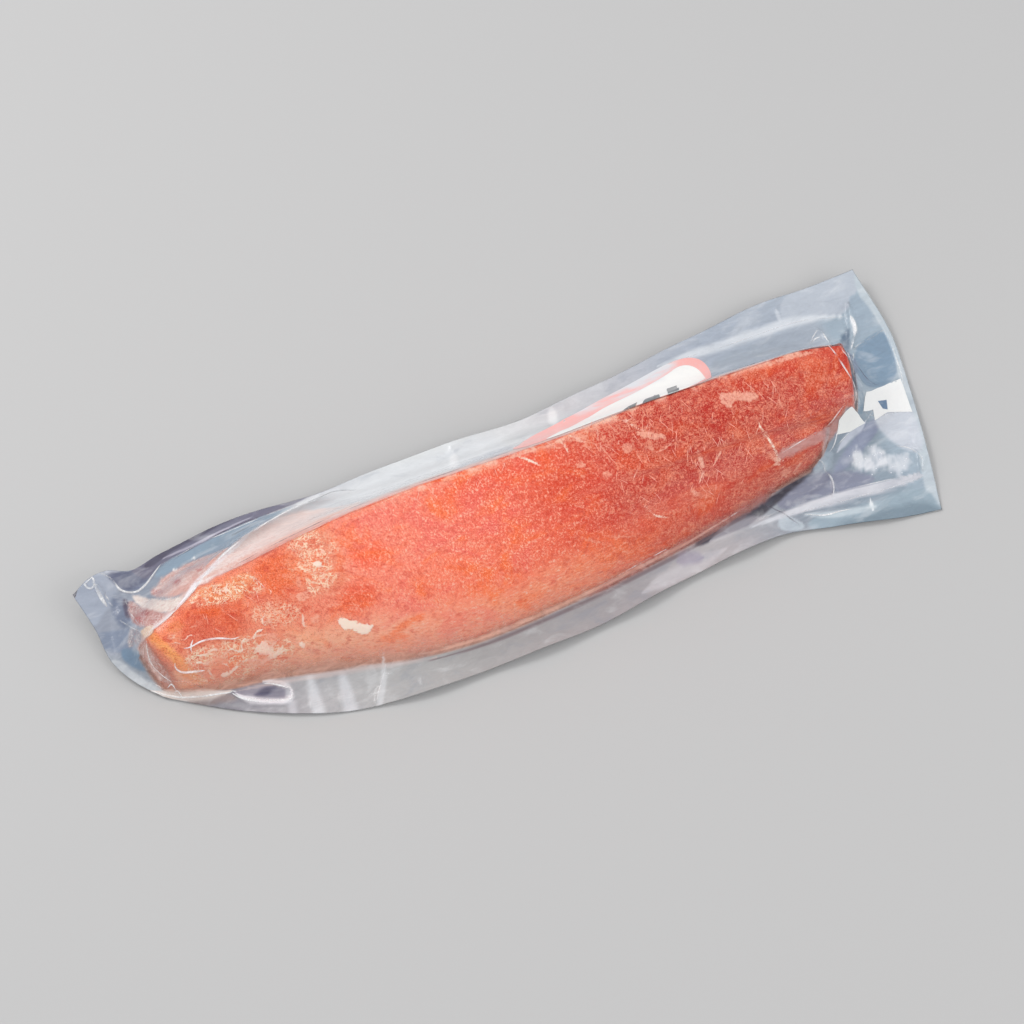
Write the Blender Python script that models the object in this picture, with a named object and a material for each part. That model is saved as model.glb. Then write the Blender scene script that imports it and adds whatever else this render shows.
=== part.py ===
"""A whole frozen fish loin, sealed under vacuum in a clear pouch and lying on its flat side.

The pack is one closed solid. Two webs of film make it: the top web is drawn tight over the
loin and drops to a flat skirt all round, and the bottom web is flat under the loin and rises
to the same skirt. X runs along the loin, Y to the pouch's back edge, and Z up. The origin is
the middle of the pack's box, on the surface it lies on. Sizes are in millimetres.
"""

import bmesh
import bpy
import numpy as np

MM = 0.001

# The pouch: a stock bag of about 200 x 640 mm laid flat.
SKIRT_THICKNESS = 1.0  # both webs together, with the air and frost between them
LOWEST_SKIRT = 1.4  # how near the skirt's top face comes to the table
WAVE_HEIGHT = 1.3  # the skirt's gentle waves
WAVE_LENGTH = 86.0

# The pouch's four edges in plan, as the (x, y, height) points that a smooth line runs through.
BACK_EDGE = (
    (-320.0, 58.5, 22.0),
    (-307.0, 65.5, 24.0),
    (-292.0, 68.5, 21.0),
    (-276.0, 65.0, 14.0),
    (-254.0, 70.5, 12.0),
    (-215.0, 77.0, 12.0),
    (-175.0, 77.5, 12.0),
    (-120.0, 75.0, 12.0),
    (-55.0, 78.5, 12.0),
    (26.0, 76.5, 12.0),
    (133.0, 88.0, 12.0),
    (238.0, 102.0, 10.0),
    (272.0, 102.5, 10.0),
    (314.0, 101.0, 14.0),
)
FRONT_EDGE = (
    (-284.0, -32.5, 3.0),
    (-238.0, -61.5, 2.0),
    (-172.0, -89.5, 2.0),
    (-131.0, -97.0, 4.0),
    (-56.0, -99.5, 6.0),
    (29.0, -96.5, 6.0),
    (96.0, -86.5, 6.0),
    (142.0, -82.0, 6.0),
    (178.0, -80.5, 5.0),
    (215.0, -88.5, 3.0),
    (255.0, -98.0, 3.0),
    (291.0, -103.5, 2.0),
)
LEFT_EDGE = (
    (-284.0, -32.5, 3.0),
    (-299.0, -15.5, 4.0),
    (-309.0, 2.0, 6.0),
    (-313.5, 32.5, 12.0),
    (-320.0, 58.5, 22.0),
)
RIGHT_EDGE = (
    (291.0, -103.5, 2.0),
    (300.0, -64.5, 4.0),
    (316.0, 10.5, 5.0),
    (320.0, 38.5, 6.0),
    (314.0, 101.0, 14.0),
)

# The loin, 550 mm long: a sharp ridge along its back, a top that slopes to a rounded front.
# Each row is x, then the y of the front foot, the ridge and the back foot, then the height.
LOIN_SECTIONS = (
    (-290.0, -27.0, -5.0, 40.0, 47.0),
    (-264.0, -39.5, 1.5, 48.0, 52.0),
    (-240.0, -43.5, 15.5, 56.0, 54.0),
    (-210.0, -47.5, 17.5, 57.0, 56.0),
    (-160.0, -58.5, 22.5, 58.0, 60.0),
    (-121.0, -70.5, 25.5, 57.0, 62.0),
    (-70.0, -78.5, 27.5, 56.0, 62.0),
    (0.0, -75.5, 28.0, 55.0, 62.0),
    (82.0, -68.5, 26.5, 54.0, 62.0),
    (159.0, -54.5, 30.0, 53.0, 59.0),
    (204.0, -45.5, 31.0, 50.0, 56.0),
    (243.0, -38.0, 32.0, 46.0, 50.0),
    (270.0, -36.0, 29.0, 40.0, 44.0),
)
FRONT_ROUNDNESS = (2.6, 2.2)  # the powers of the section's front curve
BACK_ROUNDNESS = (1.4, 1.3)  # and of its steeper back
LEFT_END = ((-39.0, -274.0), (-28.0, -282.0), (-8.0, -289.0), (20.0, -291.0), (48.0, -279.0))
UPPER_RIGHT_END = ((-40.0, 262.0), (0.0, 266.0), (30.0, 271.0), (50.0, 262.0))
LOWER_LOBE_SHORTER = 23.0  # the front lobe of the right end stops short of the back lobe
LOBE_SPLIT_Y = -20.0
LOBE_SPLIT_WIDTH = 6.0
LOBE_GROOVE_DEPTH = 5.0
LOBE_GROOVE_LENGTH = 70.0
END_DEPTH = 17.0  # over which each end rounds up from the table
END_ROUNDNESS = (2.4, 2.0)
FLAT_WHERE_HIGHER = 7.0  # the loin's underside is flat wherever its top is higher than this

# One taut fold of film stands off the loin's left corner and runs back to the skirt.
TAUT_FOLD = (
    (-276.0, 2.0, 50.0),
    (-239.0, 20.5, 49.0),
    (-227.0, 31.5, 46.0),
    (-203.0, 44.5, 40.0),
    (-181.0, 53.5, 34.0),
    (-155.0, 62.5, 25.0),
    (-121.0, 71.5, 13.0),
)
TAUT_FOLD_SLOPE = 3.0  # how fast the fold falls away to each side, in mm per mm
FOLD_BEHIND_RIDGE = 12.0  # the grid line that follows the fold keeps this far behind the ridge
FOLD_RUN_OUT = 45.0  # over which that line goes on to the loin's back foot

# The grid that both webs are made on.
ALONG = ((0.0, 0.075, 10), (0.075, 0.86, 54), (0.86, 0.94, 10), (0.94, 1.0, 6))
ACROSS = (2, 3, 4, 6, 6, 3, 2)  # spaces between the named lines, from the front edge back
SEAL_INSET = 9.0
SHOULDER_SHARE = 0.25  # of the way from the front foot to the ridge
TENSION_STEPS = 500
SUCTION = 0.070  # curvature that the vacuum gives free film, per mm


def smooth(knots, values, at):
    """A smooth line through the values at the knots, read at the places given."""
    knots = np.asarray(knots, float)
    values = np.asarray(values, float)
    slopes = np.gradient(values, knots)
    at = np.clip(at, knots[0], knots[-1])
    i = np.clip(np.searchsorted(knots, at, side="right") - 1, 0, len(knots) - 2)
    span = knots[i + 1] - knots[i]
    t = (at - knots[i]) / span
    rise = values[i + 1] - values[i]
    start = slopes[i] * span
    end = slopes[i + 1] * span
    return values[i] + start * t + (3 * rise - 2 * start - end) * t**2 + (start + end - 2 * rise) * t**3


def column(rows, index):
    return [row[index] for row in rows]


def ease(value):
    """0 below 0, 1 above 1, and a soft step between."""
    t = np.clip(value, 0.0, 1.0)
    return t * t * (3.0 - 2.0 * t)


def edge(points, along, share):
    """Points on one of the pouch's edges, at shares of its reach along one axis."""
    reach = np.array(column(points, along))
    knots = (reach - reach[0]) / (reach[-1] - reach[0])
    return np.stack([smooth(knots, column(points, axis), share) for axis in range(3)], axis=-1)


def sheet(u, v):
    """The flat pouch between its four edges, u along and v from front to back."""
    front, back = edge(FRONT_EDGE, 0, u), edge(BACK_EDGE, 0, u)
    left, right = edge(LEFT_EDGE, 1, v), edge(RIGHT_EDGE, 1, v)
    u, v = u[..., None], v[..., None]
    corners = (
        (1 - u) * (1 - v) * np.array(FRONT_EDGE[0])
        + u * (1 - v) * np.array(FRONT_EDGE[-1])
        + (1 - u) * v * np.array(BACK_EDGE[0])
        + u * v * np.array(BACK_EDGE[-1])
    )
    return (1 - v) * front + v * back + (1 - u) * left + u * right - corners


def loin_lines(x):
    """The y of the loin's front foot, ridge and back foot, and its height, at x."""
    stations = column(LOIN_SECTIONS, 0)
    return [smooth(stations, column(LOIN_SECTIONS, i), x) for i in range(1, 5)]


def curve_down(share, powers):
    """From 1 at share 0 to 0 at share 1, along a rounded profile."""
    return (1 - np.clip(share, 0, 1) ** powers[0]) ** (1 / powers[1])


def loin_height(x, y):
    """Height of the loin's upper surface over the table, and 0 outside it."""
    front, ridge, back, height = loin_lines(x)
    across = np.where(
        y < ridge,
        curve_down((ridge - y) / (ridge - front), FRONT_ROUNDNESS),
        curve_down((y - ridge) / (back - ridge), BACK_ROUNDNESS),
    )
    lower_lobe = ease((LOBE_SPLIT_Y + LOBE_SPLIT_WIDTH / 2 - y) / LOBE_SPLIT_WIDTH)
    right_end = smooth(*zip(*UPPER_RIGHT_END), y) - LOWER_LOBE_SHORTER * lower_lobe
    left_end = smooth(*zip(*LEFT_END), y)
    from_left = curve_down(1 - (x - left_end) / END_DEPTH, END_ROUNDNESS)
    from_right = curve_down(1 - (right_end - x) / END_DEPTH, END_ROUNDNESS)
    groove = LOBE_GROOVE_DEPTH * ease(1 - (right_end - x) / LOBE_GROOVE_LENGTH)
    groove = groove * np.exp(-(((y - LOBE_SPLIT_Y) / LOBE_SPLIT_WIDTH) ** 2))
    return np.maximum(height * across * from_left * from_right - groove, 0.0)


def fold_height(x, y):
    """Height that the taut fold holds the film up to, and 0 away from it."""
    stations = column(TAUT_FOLD, 0)
    middle = smooth(stations, column(TAUT_FOLD, 1), x)
    crest = smooth(stations, column(TAUT_FOLD, 2), x)
    beside = (x > stations[0]) & (x < stations[-1])
    return np.where(beside, np.maximum(crest - TAUT_FOLD_SLOPE * np.abs(y - middle), 0.0), 0.0)


def stations_along():
    """The shares of the pouch's length where its cross lines run, closest at the loin's ends."""
    runs = [np.linspace(start, end, count, endpoint=False) for start, end, count in ALONG]
    return np.append(np.concatenate(runs), 1.0)


def named_lines(x):
    """The y of the lines that run along the pouch between its edges, from front to back."""
    front, ridge, back, _ = loin_lines(x)
    front_edge = smooth(column(FRONT_EDGE, 0), column(FRONT_EDGE, 1), x)
    back_edge = smooth(column(BACK_EDGE, 0), column(BACK_EDGE, 1), x)
    shoulder = front + SHOULDER_SHARE * (ridge - front)
    fold = np.maximum(smooth(column(TAUT_FOLD, 0), column(TAUT_FOLD, 1), x), ridge + FOLD_BEHIND_RIDGE)
    past_fold = ease((x - TAUT_FOLD[-1][0]) / FOLD_RUN_OUT)
    behind = fold + past_fold * (back - fold)
    return front_edge + SEAL_INSET, front, shoulder, ridge, behind, back_edge - SEAL_INSET


def shares_across(u):
    """Where each line along the pouch crosses the station at u, as shares of its width."""
    samples = np.linspace(0, 1, 201)
    points = sheet(np.full_like(samples, u), samples)
    lines = [np.interp(0, points[:, 1] - line, samples) for line in named_lines(points[:, 0])]
    crossed = np.array([0.0, *lines, 1.0])
    even = np.cumsum([0, *ACROSS]) / sum(ACROSS)
    inside = ease(min(u, 1 - u) / 0.06)
    ends = even + inside * (crossed - even)
    runs = [np.linspace(a, b, n, endpoint=False) for a, b, n in zip(ends, ends[1:], ACROSS)]
    return np.append(np.concatenate(runs), 1.0)


def drawn_tight(points, low, high, pull):
    """Heights of a web of film stretched between its edges, kept over low and under high."""
    height = np.clip(points[..., 2], low, high)
    plan = points[..., :2]
    back_step = np.linalg.norm(plan[1:-1, 1:-1] - plan[:-2, 1:-1], axis=-1)
    next_step = np.linalg.norm(plan[2:, 1:-1] - plan[1:-1, 1:-1], axis=-1)
    near_step = np.linalg.norm(plan[1:-1, 1:-1] - plan[1:-1, :-2], axis=-1)
    far_step = np.linalg.norm(plan[1:-1, 2:] - plan[1:-1, 1:-1], axis=-1)
    weights = (
        2 / (back_step * (back_step + next_step)),
        2 / (next_step * (back_step + next_step)),
        2 / (near_step * (near_step + far_step)),
        2 / (far_step * (near_step + far_step)),
    )
    for _ in range(TENSION_STEPS):
        around = (height[:-2, 1:-1], height[2:, 1:-1], height[1:-1, :-2], height[1:-1, 2:])
        level = sum(w * h for w, h in zip(weights, around)) + pull
        height[1:-1, 1:-1] = np.clip(level / sum(weights), low[1:-1, 1:-1], high[1:-1, 1:-1])
    return height


def pouch_webs():
    """The grids of points of the top web and the bottom web."""
    along = stations_along()
    across = np.array([shares_across(u) for u in along])
    flat = sheet(np.broadcast_to(along[:, None], across.shape), across)
    x, y = flat[..., 0], flat[..., 1]
    loin = loin_height(x, y)
    waves = WAVE_HEIGHT * np.sin(2 * np.pi * x / WAVE_LENGTH + y / 31.0)
    skirt = np.maximum(flat[..., 2] + waves, LOWEST_SKIRT)
    top, bottom = flat.copy(), flat.copy()
    open_above = np.full(skirt.shape, np.inf)
    top[..., 2] = skirt
    held_up = np.maximum(np.maximum(loin, fold_height(x, y)), skirt)
    held_up[[0, -1]], held_up[:, [0, -1]] = skirt[[0, -1]], skirt[:, [0, -1]]
    top[..., 2] = drawn_tight(top, held_up, open_above, -SUCTION)
    underside = np.where(loin > FLAT_WHERE_HIGHER, 0.0, skirt - SKIRT_THICKNESS)
    bottom[..., 2] = underside
    bottom[..., 2] = drawn_tight(bottom, np.zeros(skirt.shape), underside, SUCTION)
    return top, bottom


def centred(*webs):
    """The same webs with the middle of their common plan at the origin."""
    plan = np.concatenate([web[..., :2].reshape(-1, 2) for web in webs])
    middle = (plan.min(axis=0) + plan.max(axis=0)) / 2
    for web in webs:
        web[..., :2] -= middle
    return webs


def clear_material(name, colour):
    material = bpy.data.materials.new(name)
    material.use_nodes = True
    shader = material.node_tree.nodes["Principled BSDF"]
    shader.inputs["Base Color"].default_value = (*colour, 1.0)
    shader.inputs["Roughness"].default_value = 0.2
    shader.inputs["Metallic"].default_value = 0.0
    return material


def add_web(mesh, points, upwards):
    """One web of film as a grid of quads, with the edges that run round it."""
    rows, columns = points.shape[:2]
    verts = [[mesh.verts.new(points[i, j] * MM) for j in range(columns)] for i in range(rows)]
    for i in range(rows - 1):
        for j in range(columns - 1):
            ring = (verts[i][j], verts[i + 1][j], verts[i + 1][j + 1], verts[i][j + 1])
            mesh.faces.new(ring if upwards else ring[::-1])
    return [e for row in verts for v in row for e in v.link_edges if e.is_boundary]


def sealed_pouch():
    """The pack as one solid: the two webs, joined round the seal by the skirt's thickness."""
    top, bottom = centred(*pouch_webs())
    mesh = bmesh.new()
    rim = set(add_web(mesh, top, upwards=True))
    rim |= set(add_web(mesh, bottom, upwards=False))
    bmesh.ops.bridge_loops(mesh, edges=list(rim))
    bmesh.ops.recalc_face_normals(mesh, faces=mesh.faces)
    data = bpy.data.meshes.new("sealed_pouch")
    mesh.to_mesh(data)
    mesh.free()
    data.shade_smooth()
    data.materials.append(clear_material("frosted_film_over_loin", (0.62, 0.30, 0.24)))
    pouch = bpy.data.objects.new("sealed_pouch", data)
    bpy.context.scene.collection.objects.link(pouch)
    return pouch


for leftover in list(bpy.data.objects):
    bpy.data.objects.remove(leftover)
sealed_pouch()
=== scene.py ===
"""A frozen tuna loin under vacuum in a clear pouch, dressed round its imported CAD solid.

Everything is in the CAD's frame, X along the loin and Z up. The sizes below are in
millimetres, and the meshes in metres. Colours are written as 0 to 255 screen values.
"""

import math

import bmesh
import bpy
import numpy as np
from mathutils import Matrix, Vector
from mathutils.bvhtree import BVHTree


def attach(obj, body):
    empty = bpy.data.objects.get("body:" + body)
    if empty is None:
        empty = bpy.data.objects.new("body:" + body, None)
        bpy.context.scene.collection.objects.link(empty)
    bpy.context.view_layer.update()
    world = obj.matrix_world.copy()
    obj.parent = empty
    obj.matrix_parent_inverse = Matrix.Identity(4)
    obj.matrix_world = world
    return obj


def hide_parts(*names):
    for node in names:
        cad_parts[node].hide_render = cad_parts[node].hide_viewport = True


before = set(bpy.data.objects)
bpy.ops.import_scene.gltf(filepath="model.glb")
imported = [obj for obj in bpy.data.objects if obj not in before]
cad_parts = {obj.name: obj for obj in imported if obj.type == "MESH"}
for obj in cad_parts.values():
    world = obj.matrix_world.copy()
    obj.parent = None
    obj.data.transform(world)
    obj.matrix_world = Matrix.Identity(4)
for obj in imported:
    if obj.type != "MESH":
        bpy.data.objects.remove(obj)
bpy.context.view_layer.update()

# ---------------------------------------------------------------------------------------
# The loin: one long side of red fish, sawn to length while frozen. It has a flat foot, a
# sharp ridge along its back, a rounded front, and a wide end that parts in two lobes.
# Its face is short pale fibres in coral flesh, with frost where air reached it.

MM = 0.001
LOIN_SECTIONS = (  # x, then the y of the front foot, the ridge and the back foot, then the height
    (-290, -27, -5, 40, 47),
    (-264, -39.5, 1.5, 48, 52),
    (-240, -43.5, 15.5, 56, 54),
    (-210, -47.5, 17.5, 57, 56),
    (-160, -58.5, 22.5, 58, 60),
    (-121, -70.5, 25.5, 57, 62),
    (-70, -78.5, 27.5, 56, 62),
    (0, -76, 26.4, 55, 62),
    (45, -73, 26, 54.5, 62),
    (82, -69, 27.8, 54, 62),
    (110, -64, 29.6, 53.5, 61.2),
    (159, -54.5, 30.2, 53, 59),
    (204, -45.5, 31, 50, 56),
    (243, -38, 32, 46, 50),
    (270, -36, 29, 40, 44),
)
FRONT_ROUNDNESS = (2.6, 2.2)
BACK_ROUNDNESS = (1.4, 1.3)
LEFT_END = ((-39, -274), (-28, -282), (-8, -289), (20, -291), (48, -279))
UPPER_RIGHT_END = ((-48, 226), (-40, 243), (-30, 255), (-15, 262), (0, 268), (32, 274), (50, 268))
LOWER_LOBE_SHORTER = 23.0
LOBE_SPLIT_Y = -20.0
LOBE_SPLIT_WIDTH = 6.0
LOBE_GROOVE_DEPTH = 5.0
LOBE_GROOVE_LENGTH = 70.0
LEFT_END_DEPTH, RIGHT_END_DEPTH = 17.0, 9.0
END_ROUNDNESS = (2.4, 2.0)

LOIN_ROWS, LOIN_COLUMNS = 541, 157
LOIN_UNDERSIDE_STEP = 6  # the underside's grid is this much coarser
LOIN_FOOT = 0.5  # the film under the loin lifts it this much
HILLS = ((34.0, 0.9), (11.0, 0.45), (4.2, 0.28), (1.8, 0.14))  # size and depth of the relief


def smooth(knots, values, at):
    """A smooth line through the values at the knots, read at the places given."""
    knots = np.asarray(knots, float)
    values = np.asarray(values, float)
    slopes = np.gradient(values, knots)
    at = np.clip(at, knots[0], knots[-1])
    i = np.clip(np.searchsorted(knots, at, side="right") - 1, 0, len(knots) - 2)
    span = knots[i + 1] - knots[i]
    t = (at - knots[i]) / span
    rise = values[i + 1] - values[i]
    start, end = slopes[i] * span, slopes[i + 1] * span
    return values[i] + start * t + (3 * rise - 2 * start - end) * t**2 + (start + end - 2 * rise) * t**3


def column(rows, index):
    return [row[index] for row in rows]


def ease(value):
    """0 below 0, 1 above 1, and a soft step between."""
    t = np.clip(value, 0.0, 1.0)
    return t * t * (3.0 - 2.0 * t)


def curve_down(share, powers):
    """From 1 at share 0 to 0 at share 1, along a rounded profile."""
    return (1 - np.clip(share, 0, 1) ** powers[0]) ** (1 / powers[1])


def loin_lines(x):
    """The y of the loin's front foot, ridge and back foot, and its height, at x."""
    stations = column(LOIN_SECTIONS, 0)
    return [smooth(stations, column(LOIN_SECTIONS, i), x) for i in range(1, 5)]


def across_loin(y, front, ridge, back):
    """The section's height at y, as a share of the ridge's."""
    before = curve_down((ridge - y) / (ridge - front), FRONT_ROUNDNESS)
    behind = curve_down((y - ridge) / (back - ridge), BACK_ROUNDNESS)
    return np.where(y < ridge, before, behind)


def loin_ends(y):
    """The x of the loin's left and right ends at y."""
    lower_lobe = ease((LOBE_SPLIT_Y + LOBE_SPLIT_WIDTH / 2 - y) / LOBE_SPLIT_WIDTH)
    right = smooth(*zip(*UPPER_RIGHT_END), y) - LOWER_LOBE_SHORTER * lower_lobe
    return smooth(*zip(*LEFT_END), y), right


def loin_height(x, y):
    """Height of the loin's upper surface over the table, and 0 outside it."""
    front, ridge, back, height = loin_lines(x)
    left_end, right_end = loin_ends(y)
    from_left = curve_down(1 - (x - left_end) / LEFT_END_DEPTH, END_ROUNDNESS)
    from_right = curve_down(1 - (right_end - x) / RIGHT_END_DEPTH, END_ROUNDNESS)
    groove = LOBE_GROOVE_DEPTH * ease(1 - (right_end - x) / LOBE_GROOVE_LENGTH)
    groove = groove * np.exp(-(((y - LOBE_SPLIT_Y) / LOBE_SPLIT_WIDTH) ** 2))
    whole = height * across_loin(y, front, ridge, back) * from_left * from_right
    return np.maximum(whole - groove, 0.0)


def part_way(share, y):
    """The x at a share of the way between the loin's ends at y."""
    left_end, right_end = loin_ends(y)
    return left_end + share * (right_end - left_end)


def evenly(position, height, count):
    """Positions that divide a profile's own length evenly."""
    steps = np.hypot(np.diff(position, prepend=position[0]), np.diff(height, prepend=height[0]))
    walked = np.cumsum(steps)
    return np.interp(np.linspace(0, walked[-1], count), walked, position)


PROFILE_STEPS = (6000, 900)  # fine steps along and across, that the even spacing is read from
FOOT_ROUNDS = 40


def loin_grid():
    """Points spread evenly over the loin's upper side: rows along it, columns from front to back."""
    left, right = loin_ends(0.0)
    length = right - left
    reach = np.linspace(0, length, PROFILE_STEPS[0])
    start = curve_down(1 - reach / LEFT_END_DEPTH, END_ROUNDNESS)
    end = curve_down(1 - (length - reach) / RIGHT_END_DEPTH, END_ROUNDNESS)
    along = evenly(reach, LOIN_SECTIONS[0][-1] * start * end, LOIN_ROWS)[:, None] / length
    front, back = np.full_like(along, -50.0), np.full_like(along, 50.0)
    for _ in range(FOOT_ROUNDS):  # each row bends with the ends, so its own foot is found in steps
        front, back = loin_lines(part_way(along, front))[0], loin_lines(part_way(along, back))[2]
    across = front + (back - front) * np.linspace(0, 1, PROFILE_STEPS[1])
    front, ridge, back, height = loin_lines(part_way(along, across))
    profile = height * across_loin(across, front, ridge, back)
    y = np.array([evenly(row, heights, LOIN_COLUMNS) for row, heights in zip(across, profile)])
    x = part_way(along, y)
    return np.stack([x, y, loin_height(x, y)], axis=-1)


HILL_GRID = 128  # the random heights repeat after this many
HILL_TURN = (0.80, 0.60)  # the grid is turned by this cosine and sine, so it doesn't line up with the loin


def hills(x, y, size, seed):
    """Soft random hills of that size, from about -1 to 1."""
    heights = np.random.default_rng(seed).uniform(-1, 1, (HILL_GRID, HILL_GRID))
    cosine, sine = HILL_TURN
    across, up = (cosine * x + sine * y) / size, (cosine * y - sine * x) / size
    i, j = np.floor(across).astype(int), np.floor(up).astype(int)
    s, t = ease(across - i), ease(up - j)
    i_next, j_next = (i + 1) % HILL_GRID, (j + 1) % HILL_GRID
    i, j = i % HILL_GRID, j % HILL_GRID
    near = heights[i, j] * (1 - s) + heights[i_next, j] * s
    far = heights[i, j_next] * (1 - s) + heights[i_next, j_next] * s
    return near * (1 - t) + far * t


SMALLER_HILLS = 1.7  # each finer set of hills is this much lower


def rough_hills(x, y, size, seed):
    """Hills with smaller hills on them."""
    return sum(hills(x, y, size / 2**k, seed + k) / SMALLER_HILLS**k for k in range(3)) / 1.6


def upward(points):
    """Unit normals of a grid of points, on the side where rows cross columns."""
    normals = np.cross(np.gradient(points, axis=0), np.gradient(points, axis=1))
    return normals / np.maximum(np.linalg.norm(normals, axis=-1, keepdims=True), 1e-9)


def new_object(name, points, faces, edges=()):
    """A smooth-shaded object in the scene, from points in metres."""
    mesh = bpy.data.meshes.new(name)
    mesh.from_pydata(points, edges, faces)
    mesh.shade_smooth()
    made = bpy.data.objects.new(name, mesh)
    bpy.context.scene.collection.objects.link(made)
    return made


def grid_faces(index):
    """The four-sided faces of a grid of point numbers."""
    return np.stack([index[:-1, :-1], index[1:, :-1], index[1:, 1:], index[:-1, 1:]], axis=-1)


def envelope(name, top, under, step):
    """A closed mesh: a fine grid above, and one `step` times coarser below that shares its rim."""
    rows, columns = top.shape[:2]
    index = np.arange(rows * columns).reshape(rows, columns)
    faces = grid_faces(index).reshape(-1, 4).tolist()
    lower = under[::step, ::step]
    corners = index[::step, ::step].copy()
    inner = lower[1:-1, 1:-1].reshape(-1, 3)
    corners[1:-1, 1:-1] = index.size + np.arange(len(inner)).reshape(lower.shape[0] - 2, -1)
    for a in range(lower.shape[0] - 1):
        for b in range(lower.shape[1] - 1):
            i, j = a * step, b * step
            ring = [corners[a, b]]
            ring += list(index[0, j + 1 : j + step]) if a == 0 else []
            ring += [corners[a, b + 1]]
            ring += list(index[i + 1 : i + step, -1]) if b == lower.shape[1] - 2 else []
            ring += [corners[a + 1, b + 1]]
            ring += list(index[-1, j + step - 1 : j : -1]) if a == lower.shape[0] - 2 else []
            ring += [corners[a + 1, b]]
            ring += list(index[i + step - 1 : i : -1, 0]) if b == 0 else []
            faces.append([int(corner) for corner in ring])
    points = np.concatenate([top.reshape(-1, 3), inner]) * MM
    return new_object(name, points.tolist(), faces)


def rounded(points, closed=False):
    """The same outline or path with its corners cut twice."""
    points = np.array(points, float)
    for _ in range(2):
        after = np.roll(points, -1, axis=0) if closed else points[1:]
        before = points if closed else points[:-1]
        cut = np.stack([0.75 * before + 0.25 * after, 0.25 * before + 0.75 * after], axis=1).reshape(-1, 2)
        points = cut if closed else np.concatenate([points[:1], cut, points[-1:]])
    return points


def to_line(x, y, start, end):
    """Distance from a straight line between two points, and the share of the way along it."""
    (ax, ay), (bx, by) = start, end
    share = ((x - ax) * (bx - ax) + (y - ay) * (by - ay)) / ((bx - ax) ** 2 + (by - ay) ** 2)
    share = np.clip(share, 0, 1)
    return np.hypot(x - ax - share * (bx - ax), y - ay - share * (by - ay)), share


def close_to(x, y, points, reach):
    """Which of the places lie within the points' own box, grown by the reach."""
    low, high = points.min(axis=0) - reach, points.max(axis=0) + reach
    return (x > low[0]) & (x < high[0]) & (y > low[1]) & (y < high[1])


def inside(x, y, outline, soft, rough=0.0, grain=5.0, seed=1):
    """1 inside an outline and 0 outside it, with an edge `soft` wide that wanders by `rough`."""
    points = rounded(outline, closed=True)
    near = close_to(x, y, points, soft + 2 * rough)
    px, py = x[near], y[near]
    nearest = np.full(px.shape, np.inf)
    within = np.zeros(px.shape, bool)
    for start, end in zip(points, np.roll(points, -1, axis=0)):
        nearest = np.minimum(nearest, to_line(px, py, start, end)[0])
        crosses = (start[1] > py) != (end[1] > py)
        rise = (end[1] - start[1]) or 1e-9
        within ^= crosses & (px < start[0] + (py - start[1]) * (end[0] - start[0]) / rise)
    depth = np.where(within, nearest, -nearest) + rough * rough_hills(px, py, grain, seed)
    mask = np.zeros(x.shape)
    mask[near] = ease(depth / soft + 0.5)
    return mask


PATH_TIP, PATH_TAPER = 0.15, 3.5  # a path's width at its ends, and how fast it grows from there


def near_path(x, y, path, width, rough=0.0, seed=1):
    """1 on a path, falling evenly to 0 beside it; the path narrows to nothing at its ends."""
    points = rounded(path)
    walked = np.cumsum(np.hypot(*np.diff(points, axis=0, prepend=points[:1]).T))
    near = close_to(x, y, points, width + rough)
    px, py = x[near], y[near]
    wander = rough * rough_hills(px, py, 3.0, seed)
    best = np.zeros(px.shape)
    for k in range(len(points) - 1):
        away, share = to_line(px, py, points[k], points[k + 1])
        run = (walked[k] + share * (walked[k + 1] - walked[k])) / walked[-1]
        reach = width * np.minimum(1.0, PATH_TAPER * np.minimum(run, 1 - run) + PATH_TIP)
        best = np.maximum(best, 1 - (away - wander) / reach)
    whole = np.zeros(x.shape)
    whole[near] = np.clip(best, 0, 1)
    return whole


def linear(colours):
    """Screen colours, 0 to 255, as the linear values that a shader takes."""
    share = np.asarray(colours, float) / 255
    return np.where(share <= 0.04045, share / 12.92, ((share + 0.055) / 1.055) ** 2.4)


def keep(made, name, values, rest=None):
    """Stores a colour or a number for each point; points past the end of the list take `rest`."""
    count = len(made.data.vertices)
    coloured = values.shape[-1] == 3 and values.ndim == 3
    rows = values.reshape(-1, 3) if coloured else values.reshape(-1, 1)
    rest = rows[-1] if rest is None else rest
    whole = np.concatenate([rows, np.broadcast_to(rest, (count - len(rows), rows.shape[1]))])
    if coloured:
        whole = np.concatenate([whole, np.ones((count, 1))], axis=1)
    kind, field = ("FLOAT_COLOR", "color") if coloured else ("FLOAT", "value")
    stored = made.data.attributes.new(name, kind, "POINT").data
    stored.foreach_set(field, whole.astype(np.float32).ravel())


def graded(rows, index, x):
    """Colours read along x from a table whose first column is x."""
    return np.stack([smooth(column(rows, 0), [row[index][c] for row in rows], x) for c in range(3)], axis=-1)


# The flesh's colour along the loin: x, then the top's and the front flank's colour. The flank's colour is
# paler, partly its own and partly painted light from the front.
FLESH_ALONG = (
    (-290, (242, 152, 116), (255, 200, 162)),
    (-200, (243, 144, 110), (255, 196, 160)),
    (-120, (250, 138, 112), (255, 178, 146)),
    (-40, (246, 120, 94), (255, 160, 124)),
    (30, (230, 84, 56), (248, 142, 106)),
    (100, (194, 32, 16), (222, 88, 60)),
    (180, (182, 26, 12), (204, 66, 44)),
    (270, (190, 34, 16), (200, 60, 40)),
)
FLANK_START, FLANK_WIDTH = 0.22, 0.22  # where the flank begins, as a share from foot to ridge
FLANK_WANDER = 0.06
FLANK_DULLS_FROM, FLANK_DULLS_OVER, FLANK_DULLED = 40.0, 80.0, 0.7  # it is less pale at the wide end

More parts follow.
